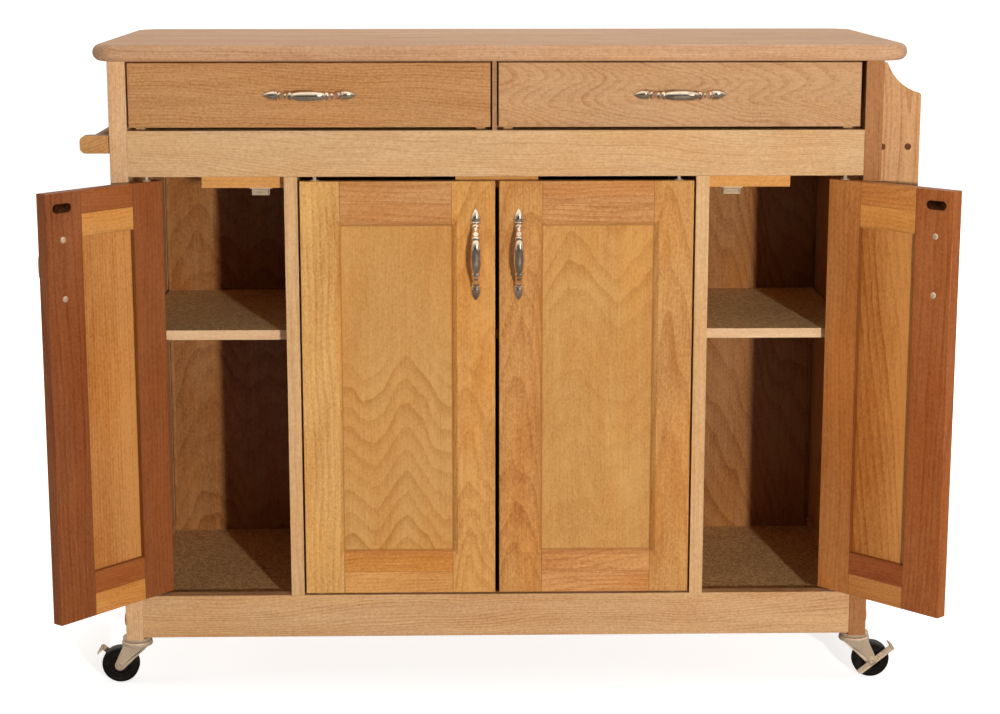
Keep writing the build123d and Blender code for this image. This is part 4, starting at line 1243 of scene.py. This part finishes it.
# %% The pull's screws
screws = []
for side in (-1, 1):
    head = [(-2.0, 1.7), (-1.6, 2.0), (18.0, 2.0), (18.0, 4.1), (18.8, 4.2), (19.5, 3.8), (20.0, 3.0), (20.2, 1.8)]
    screw = turned("screw", (side * pull_root, 0, 0), (0, 1, 0), in_metres(head), 24)
    bars = []
    for turn in (30, 120):
        alone()
        bpy.ops.mesh.primitive_cube_add(
            size=0.001, location=(side * pull_root, 0.0202, 0), rotation=(0, radians(turn), 0)
        )
        bpy.ops.transform.resize(value=(4.6, 2.4, 0.85), orient_type="LOCAL")
        bars.append(bpy.context.object)
    for bar in bars:
        cut_out(screw, bar)
    screws.append(screw)
pull = joined("pull", [bow] + feet)
edit()
take_all()
bpy.ops.transform.resize(value=(1, 1, 1.17), center_override=(0, 0, 0))
leave_edit()
screw_pair = joined("pull_screws", screws)
print("pull", len(pull.data.polygons), "faces, screws", len(screw_pair.data.polygons))

# %% [markdown]
# The pull is copied to its six places. On the doors it hangs upright, 26 mm from the free edge, and it turns with a
# door that stands open. The drawer fronts are 1 mm thicker than the doors, so there the screws reach 1 mm further.

# %% Put the pulls in place
front_face, door_half, pull_margin = -0.150, 0.009, 0.026
door_pull_level, drawer_pull_level = 0.5981, 0.80975


def door_place(pivot_x, hand, angle):
    """The place of a door's pin, turned as the door stands in the photograph."""
    return Matrix.Translation((pivot_x, pivot_y, 0)) @ Matrix.Rotation(radians(-hand * angle), 4, "Z")


for name, pivot_x, hand, width, angle, *_ in door_list:
    from_pin = hand * (width - pivot_inset - pull_margin)
    upright = Matrix.Translation((from_pin, -door_half, door_pull_level)) @ Matrix.Rotation(radians(90), 4, "Y")
    place = door_place(pivot_x, hand, angle) @ upright
    put_on(copied(pull, f"{name}_nickel_pull", place), name, "pull", nickel, f"{name}_pull")
    put_on(copied(screw_pair, f"{name}_pull_screws", place), name, "pull", zinc)
for name, middle in (("drawer_left", -0.24585), ("drawer_right", 0.24055)):
    place = Matrix.Translation((middle, front_face, drawer_pull_level))
    put_on(copied(pull, f"{name}_nickel_pull", place), name, "pull", nickel, f"{name}_pull")
    placed = copied(screw_pair, f"{name}_pull_screws", place @ Matrix.Translation((0, 0.001, 0)))
    put_on(placed, name, "pull", zinc)
bpy.data.objects.remove(pull)
bpy.data.objects.remove(screw_pair)
print("pulls on", len(door_list), "doors and 2 drawers")

# %% [markdown]
# ## The casters
#
# Four small casters with black moulded wheels on forks of thin zinc-plated steel. The fixed half is a race that sits
# against the foot of the leg, with a stem up into the wood and a kingpin down through the fork. Rolled beads stiffen
# the race and the cap under it, and they are what catches the light. Each caster is modelled at the right front leg,
# with its wheel trailing outward, and the left ones are turned half round.

# %% Race, stem and kingpin
leg_x, front_y, rear_y = 0.49715, -0.129, 0.246
corners = {
    "front_right": Matrix.Translation((leg_x, front_y, 0)),
    "front_left": Matrix.Translation((-leg_x, front_y, 0)) @ Matrix.Rotation(pi, 4, "Z"),
    "rear_right": Matrix.Translation((leg_x, rear_y, 0)),
    "rear_left": Matrix.Translation((-leg_x, rear_y, 0)) @ Matrix.Rotation(pi, 4, "Z"),
}
race_profile = in_metres([
    (0.0, 4.0), (0.9, 5.0), (38.0, 5.0), (38.0, 18.6), (38.4, 19.4), (39.0, 19.9), (39.7, 20.0), (40.3, 19.7),
    (40.6, 18.9), (41.0, 18.5), (41.4, 18.9), (41.7, 19.6), (42.1, 19.6), (42.5, 19.0), (42.5, 4.0), (50.2, 4.0),
    (50.2, 6.0), (50.9, 6.0), (51.5, 5.2), (51.5, 2.4), (51.1, 2.0),
])
race = joined("race", [turned("race", (0, 0, 0.103), (0, 0, -1), race_profile, 48)], 30)
for corner, place in corners.items():
    put_on(copied(race, f"caster_{corner}_race", place), "cabinet", "zinc", zinc)
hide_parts("caster_stems")
print(len(corners), "races of", len(race.data.polygons), "faces")
bpy.data.objects.remove(race)

# %% [markdown]
# A fork plate starts as a flat disc round the axle. Its top is sliced off where the plate's straight sides leave the
# circle, the cut edge is extruded, and its two ends are carried up to the cap.

# %% The outline of a fork plate
trail, axle_level, cap_bottom = 0.0235, 0.0255, 0.0534
plate_in, plate_out, end_radius = 0.0099, 0.0119, 0.0070
plate_left, plate_right, braked_axle_end = -0.015, 0.019, 0.0141
axle_place = Vector((trail, 0, axle_level))


def tangent_point(corner, turn):
    """Where a line from a corner of the plate touches its round end."""
    away = Vector((corner[0] - trail, 0, corner[1] - axle_level))
    lean = atan2(away.z, away.x) + turn * acos(end_radius / away.length)
    return axle_place + Vector((cos(lean), 0, sin(lean))) * end_radius


def plate_outline(side):
    """The flat of one cheek, left open in edit mode, with side -1 in front of the wheel and 1 behind it."""
    corners_up = [(plate_left, cap_bottom - 0.001), (plate_right, cap_bottom - 0.001)]
    touches = [tangent_point(corners_up[0], 1), tangent_point(corners_up[1], -1)]
    flat_place = Vector((0, side * plate_in, 0))
    plate = disc(axle_place + flat_place, end_radius)
    take_all()
    along = (touches[1] - touches[0]).normalized()
    upward = Vector((-along.z, 0, along.x))
    bpy.ops.mesh.bisect(plane_co=touches[0] + flat_place, plane_no=upward, clear_outer=True)
    for level in (corners_up, [(plate_left, cap_bottom + 0.0014), (plate_right, cap_bottom + 0.0014)]):
        extrude((0, 0, 0.0002))
        cage = bmesh.from_edit_mesh(plate.data)
        ends = sorted((vert for vert in cage.verts if vert.select), key=lambda vert: vert.co.x)
        moves = [(list(vert.co), target) for vert, target in zip((ends[0], ends[-1]), level)]
        for start, target in moves:
            select_where(plate, "VERT", lambda co, normal: (co - Vector(start)).length < 0.000001)
            move = Vector((target[0], side * plate_in, target[1])) - Vector(start)
            bpy.ops.transform.translate(value=move)
        select_where(plate, "VERT", lambda co, normal: abs(co.z - level[0][1]) < 0.000001)
    take_all()
    bpy.ops.mesh.dissolve_limited(angle_limit=radians(1))
    return plate


wide_end = (plate_right - plate_left) * 1000
print("plate from", round(end_radius * 2000, 1), "mm at the axle to", round(wide_end, 1), "mm at the cap")

# %% [markdown]
# The flat is then given its thickness, two insets press the panel that such plates have for stiffness, and its
# sharp edges are eased.

# %% Press a fork plate


def fork_plate(side):
    """One finished cheek of the fork."""
    plate = plate_outline(side)
    thicken(side * (plate_out - plate_in))
    for inset, depth in ((0.0017, 0.0), (0.0006, -0.00035)):
        select_where(plate, "FACE", lambda co, normal: normal.y * side > 0.9 and abs(co.y) > plate_out - 0.0005)
        if depth:
            cage = bmesh.from_edit_mesh(plate.data)
            inner = min((face for face in cage.faces if face.select), key=lambda face: -len(face.verts))
            for face in cage.faces:
                face.select_set(face == inner)
            bmesh.update_edit_mesh(plate.data)
        bpy.ops.mesh.inset(thickness=inset, depth=depth)
    leave_edit()
    return eased(plate, 0.0003)


# %% [markdown]
# The fork is finished with a round cap, whose rolled beads hide the ball race, and a riveted axle. Where a brake
# lever rides on the axle, the axle is longer.

# %% Put the forks together
cap_profile = in_metres([
    (0.0, 4.1), (5.6, 4.1), (5.6, 9.0), (6.0, 10.4), (6.5, 11.2), (6.5, 12.6), (5.9, 13.6), (5.4, 14.6), (5.6, 15.8),
    (6.3, 16.6), (6.5, 17.6), (6.4, 18.8), (5.8, 20.0), (4.9, 20.7), (3.8, 21.0), (1.4, 21.0), (0.5, 20.8),
    (0.0, 20.2), (0.3, 19.4), (1.4, 18.8), (1.4, 7.4), (0.0, 6.6),
])
rivet_profile = in_metres([
    (0.0, 4.5), (0.5, 4.5), (1.1, 4.2), (1.5, 3.5), (1.5, 2.5), (1.1, 1.9), (0.8, 1.0), (0.8, 0.2),
])


def fork(braked):
    """Cap, two cheeks and the riveted axle, longer where a brake lever rides on it."""
    front_end = braked_axle_end if braked else plate_out
    pieces = [turned("cap", (0, 0, cap_bottom), (0, 0, 1), cap_profile, 64, closed=True), fork_plate(-1), fork_plate(1)]
    pieces.append(turned("axle", axle_place, (0, -1, 0), [(-plate_out, 0.003), (front_end, 0.003)], 24))
    pieces.append(turned("rivet", axle_place + Vector((0, -front_end, 0)), (0, -1, 0), rivet_profile, 32))
    pieces.append(turned("rivet", axle_place + Vector((0, plate_out, 0)), (0, 1, 0), rivet_profile, 32))
    return joined("fork", pieces, 35)


for braked in (True, False):
    model = fork(braked)
    for corner, place in corners.items():
        if corner.startswith("front") == braked:
            piece = copied(model, f"caster_{corner}_zinc_fork", place)
            put_on(piece, f"caster_{corner}", "zinc", zinc, f"caster_{corner}_fork")
    bpy.data.objects.remove(model)
print("fork", len(piece.data.polygons), "faces")

# %% [markdown]
# The wheel is one closed profile turned round the axle: a tread with round shoulders and a fine parting line from its
# mould, a dished hub, and a boss round the bore.

# %% The wheel
half_wheel = [(0.0, 25.35), (0.3, 25.5), (4.8, 25.5), (6.2, 25.1), (7.4, 24.3), (8.2, 23.1), (8.5, 21.8), (8.5, 20.6),
              (8.2, 20.2), (8.2, 15.2), (8.5, 14.8), (8.5, 13.8), (8.2, 13.2), (7.0, 12.8), (6.0, 12.4), (6.0, 7.2),
              (6.5, 6.6), (8.2, 6.5), (8.5, 6.2), (8.5, 3.1)]
wheel_profile = in_metres(half_wheel + [(-at, radius) for at, radius in reversed(half_wheel[1:])])
wheel = joined("wheel", [turned("wheel", axle_place, (0, -1, 0), wheel_profile, 72, closed=True)], 30)
for corner, place in corners.items():
    placed = copied(wheel, f"caster_{corner}_black_wheel", place)
    put_on(placed, f"wheel_{corner}", "wheel", black_plastic, f"caster_{corner}_wheel")
print("wheels of", round(2 * max(radius for _, radius in half_wheel), 1), "mm")
bpy.data.objects.remove(wheel)

# %% [markdown]
# The brake is a pressed lever on the axle, with a bent tab over the tread to step on. Its bar starts as a disc of
# which one half is carried to the other end. It gets its thickness, a sunken channel and a turned-out lower edge.

# %% The bar of the brake lever
lever_in, lever_out, foot_behind, bar_radius = 0.0123, 0.0141, 0.0085, 0.0036
toe_reach, toe_rise = 0.026, 0.019
toe = axle_place + Vector((toe_reach, -lever_in, toe_rise))
heel = axle_place + Vector((-0.016, -lever_in, -0.015))
bar_direction = (toe - heel).normalized()
bar = disc(heel, bar_radius, 40)
select_where(bar, "VERT", lambda co, normal: (co - heel).dot(bar_direction) > 0.0001)
bpy.ops.transform.translate(value=toe - heel)
thicken(lever_in - lever_out)
select_where(bar, "FACE", lambda co, normal: normal.y < -0.9)
bpy.ops.mesh.inset(thickness=0.0008, depth=0)
bpy.ops.mesh.inset(thickness=0.0004, depth=-0.0005)
below = Vector((bar_direction.z, 0, -bar_direction.x))
middle_y = -(lever_in + lever_out) / 2
select_where(bar, "FACE", lambda co, normal: normal.dot(below) > 0.98 and abs(co.y - middle_y) < 0.0002)
extrude(below * 0.0009 + Vector((0, -0.0011, 0)))
leave_edit()
print("bar", round((toe - heel).length * 1000, 1), "mm between its ends")

# %% [markdown]
# Three bumps are pressed out of the bar, a hub ring holds it on the axle, and its foot is a piece of bent sheet
# with ridges for the shoe.

# %% The rest of the brake lever
bumps = []
for at, radius in ((0.0062, 0.0021), (0.0118, 0.0024), (0.0148, 0.0024)):
    seat = axle_place + Vector((0, -lever_out + 0.0005, 0)) + bar_direction * at
    dome = [(0.0, radius), (0.0006, radius * 0.92), (0.0011, radius * 0.68), (0.0014, radius * 0.32), (0.00145, 0.0001)]
    bumps.append(turned("bump", seat, (0, -1, 0), dome, 24))
hub_profile = in_metres([(0.0, 3.1), (0.0, 6.5), (1.5, 6.5), (1.8, 6.1), (1.8, 3.1)])
hub = turned("hub", axle_place + Vector((0, -lever_in, 0)), (0, -1, 0), hub_profile, 40, closed=True)

foot_middle = axle_place + Vector((toe_reach + 0.0018, (foot_behind - lever_out) / 2, toe_rise))
alone()
bpy.ops.mesh.primitive_cube_add(size=0.001, location=foot_middle, rotation=(0, radians(-45), 0))
bpy.ops.transform.resize(value=(1.8, (foot_behind + lever_out) * 1000, 9.0), orient_type="LOCAL")
foot = settled()
outward = Vector((cos(radians(45)), 0, sin(radians(45))))
edit("FACE")
select_where(foot, "FACE", lambda co, normal: normal.dot(outward) > 0.9)
bpy.ops.mesh.subdivide(number_cuts=6)
select_where(
    foot, "FACE",
    lambda co, normal: normal.dot(outward) > 0.9 and round((co - foot_middle).y / 0.00323) % 2 == 0
    and abs((co - foot_middle).cross(outward).y) < 0.0030,
)
bpy.ops.mesh.inset(thickness=0.0003, depth=0.0005)
leave_edit()
eased(foot, 0.00035, 60)
lever = joined("lever", [bar, hub, foot] + bumps, 35)
for corner in ("front_right", "front_left"):
    placed = copied(lever, f"caster_{corner}_zinc_brake", corners[corner])
    put_on(placed, f"brake_{corner}", "zinc", zinc, f"caster_{corner}_brake")
bpy.data.objects.remove(lever)
print("lever", len(placed.data.polygons), "faces")

# %% [markdown]
# ## Door fittings and catches
#
# Each door turns on two steel pins with round collars, one at its top and one at its foot, and the bright top pin
# shows in the gap above the doors. Inside, near the free edge, a dark strike plate with rounded ends is screwed on,
# and a magnetic catch under the cleat holds it. The catch is a small plated box: its face has a sunken mouth with two
# pole bars in it, and its top has ears for the screws.

# %% A block and a plate with round ends


def block(place, size):
    """A cube primitive at its place and size, ready to be shaped, both in millimetres."""
    alone()
    bpy.ops.mesh.primitive_cube_add(size=0.001, location=Vector(place) / 1000)
    bpy.ops.transform.resize(value=size)
    return settled()


def obround(middle, length, height, thickness):
    """A plate with round ends that lies on a door's back: a disc whose halves are carried apart."""
    plate = disc(middle, height / 2)
    for side in (-1, 1):
        select_where(plate, "VERT", lambda co, normal: (co.x - middle[0]) * side > 0.00001)
        bpy.ops.transform.translate(value=(side * (length - height) / 2, 0, 0))
    thicken(thickness)
    select_where(plate, "FACE", lambda co, normal: normal.y > 0.9)
    bpy.ops.mesh.inset(thickness=0.0011, depth=0)
    bpy.ops.mesh.inset(thickness=0.0005, depth=-0.0003)
    leave_edit()
    return eased(plate, 0.00015, 60, 1)


# %% [markdown]
# A pin's collar lies on the end of the door and its point goes into the rail. The strike plate is held by two
# screws, whose heads are turned with a small hollow.

# %% Pins and strike plates
pin_reach, strike_level = 0.009, 0.6765
for name, pivot_x, hand, width, angle, *_ in door_list:
    place = door_place(pivot_x, hand, angle)
    pins = []
    for level, direction, gap in ((door_high, 1, 0.006), (door_low, -1, 0.0025)):
        reach = (pin_reach + gap) * 1000
        pin_profile = in_metres([(0.0, 6.0), (0.9, 6.0), (1.2, 5.6), (1.2, 2.5), (reach - 0.8, 2.5), (reach, 1.8)])
        pins.append(turned("pin", (0, 0, level), (0, 0, direction), pin_profile, 32))
    pair = joined("pins", pins, 35)
    put_on(copied(pair, f"{name}_steel_pins", place), name, "fittings", zinc, f"{name}_fittings")
    bpy.data.objects.remove(pair)
    strike_x = hand * (width - pivot_inset - pull_margin)
    parts = [obround((strike_x, door_half, strike_level), 0.030, 0.012, 0.0007)]
    for step in (-0.009, 0.009):
        head = in_metres([(0.0, 2.6), (0.5, 2.6), (0.8, 2.1), (0.8, 0.9), (0.5, 0.5), (0.5, 0.1)])
        parts.append(turned("screw_head", (strike_x + step, door_half, strike_level), (0, 1, 0), head, 20))
    strike = joined("strike", parts, 35)
    put_on(copied(strike, f"{name}_strike_plate", place), name, "fittings", dark_plate)
    bpy.data.objects.remove(strike)
print("pins and a strike plate on", len(door_list), "doors")

# %% [markdown]
# A catch has two pole bars of steel in its mouth, whose fronts are finely notched. Each is a block with its long
# edges subdivided, and every other face of its front is pressed in.

# %% The pole bars of a catch


def pole_bar(level, height):
    """One notched bar at a level below the catch's top, both in millimetres."""
    bar = block((0, -4.2, level), (19.5, 5.2, height))
    edit("EDGE")
    bpy.ops.mesh.select_all(action="DESELECT")
    cage = bmesh.from_edit_mesh(bar.data)
    for edge in cage.edges:
        run = edge.verts[0].co - edge.verts[1].co
        if abs(run.x) > 0.01:
            edge.select_set(True)
    bmesh.update_edit_mesh(bar.data)
    bpy.ops.mesh.subdivide(number_cuts=12)
    bpy.ops.mesh.select_mode(type="FACE")
    select_where(
        bar, "FACE",
        lambda co, normal: normal.y < -0.9 and round((co.x + 0.00975) / 0.0015 - 0.5) % 2 == 1,
    )
    bpy.ops.mesh.inset(thickness=0.0002, depth=-0.0005, use_individual=True)
    leave_edit()
    return bar


# %% [markdown]
# Its box is a cube whose front is inset for the rim and sunk for the mouth. The ears are a thin plate across the
# top, with two screw holes drilled through and two more screws that hold the box.

# %% The catches


def catch():
    """A magnetic catch with the middle of its top at the origin, its mouth towards the front."""
    ear_hole, ear_screw = (0.0127, -0.0030, 0.001), (0.0127, 0.0035, -0.0012)
    box = block((0, 0.7, -5.7), (23.0, 12.6, 8.6))
    edit("FACE")
    select_where(box, "FACE", lambda co, normal: normal.y < -0.9)
    bpy.ops.mesh.inset(thickness=0.0010, depth=0)
    extrude((0, 0.0035, 0))
    leave_edit()
    pieces = [eased(box, 0.0003)]
    pieces += [pole_bar(-3.6, 2.0), pole_bar(-8.4, 2.2)]
    ears = block((0, 0, -0.7), (28.0, 14.0, 1.4))
    for side in (-1, 1):
        drill = turned("drill", (side * ear_hole[0], *ear_hole[1:]), (0, 0, -1), [(0, 0.0014), (0.004, 0.0014)], 20)
        cut_out(ears, drill)
        screw_steps = in_metres([(0.0, 1.2), (0.5, 2.4), (0.9, 2.4), (1.3, 1.6), (1.3, 0.6), (1.0, 0.3)])
        pieces.append(turned("screw", (side * ear_screw[0], *ear_screw[1:]), (0, 0, -1), screw_steps, 16))
    pieces.append(ears)
    return joined("catch", pieces, 35)


model = catch()
for number, x in enumerate((-0.3138, -0.0326, 0.0326, 0.3138), start=1):
    piece = copied(model, f"door_catch_{number}", Matrix.Translation((x, -0.1236, 0.686)))
    put_on(piece, "cabinet", "catch", zinc)
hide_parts("door_catches")
bpy.data.objects.remove(model)
print("catch", len(piece.data.polygons), "faces")

# %% [markdown]
# ## Shelf clips
#
# The adjustable shelves lie on angles of pale pressed steel. Each is one strip: a leg on the wall with a pin hole, a
# rounded bend, and a short shelf for the board. Its end face is extruded round the corner, and the outer bend and
# ends are eased.

# %% The shelf clips


def clip():
    """A clip on a wall at the left of its board, with the board's underside at height 0."""
    leg = block((1.0, 0, -8.0), (2.0, 12.0, 16.0))
    edit("FACE")
    take_all()
    bpy.ops.mesh.bisect(plane_co=(0, 0, -0.002), plane_no=(0, 0, 1))
    select_where(leg, "FACE", lambda co, normal: normal.x > 0.9 and co.z > -0.002)
    extrude((0.011, 0, 0))
    leave_edit()
    eased(leg, 0.0007, 60, 3)
    stud = in_metres([(0.0, 3.2), (0.5, 3.2), (1.0, 2.6), (1.2, 1.4), (1.2, 0.2)])
    return joined("clip", [leg, turned("stud", (0.002, 0, -0.009), (1, 0, 0), stud, 24)], 35)


model = clip()
walls = ((-0.488, 1), (-0.2813, -1), (-0.2638, 1), (0.2638, -1), (0.2813, 1), (0.488, -1))
number = 0
for wall_x, inward in walls:
    for row in (-0.076, 0.179):
        number += 1
        turn = Matrix.Rotation(0 if inward > 0 else pi, 4, "Z")
        piece = copied(model, f"shelf_clip_{number}", Matrix.Translation((wall_x, row, 0.478)) @ turn)
        put_on(piece, "cabinet", "catch", zinc)
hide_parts("shelf_clips")
bpy.data.objects.remove(model)
print(number, "clips of", len(piece.data.polygons), "faces")
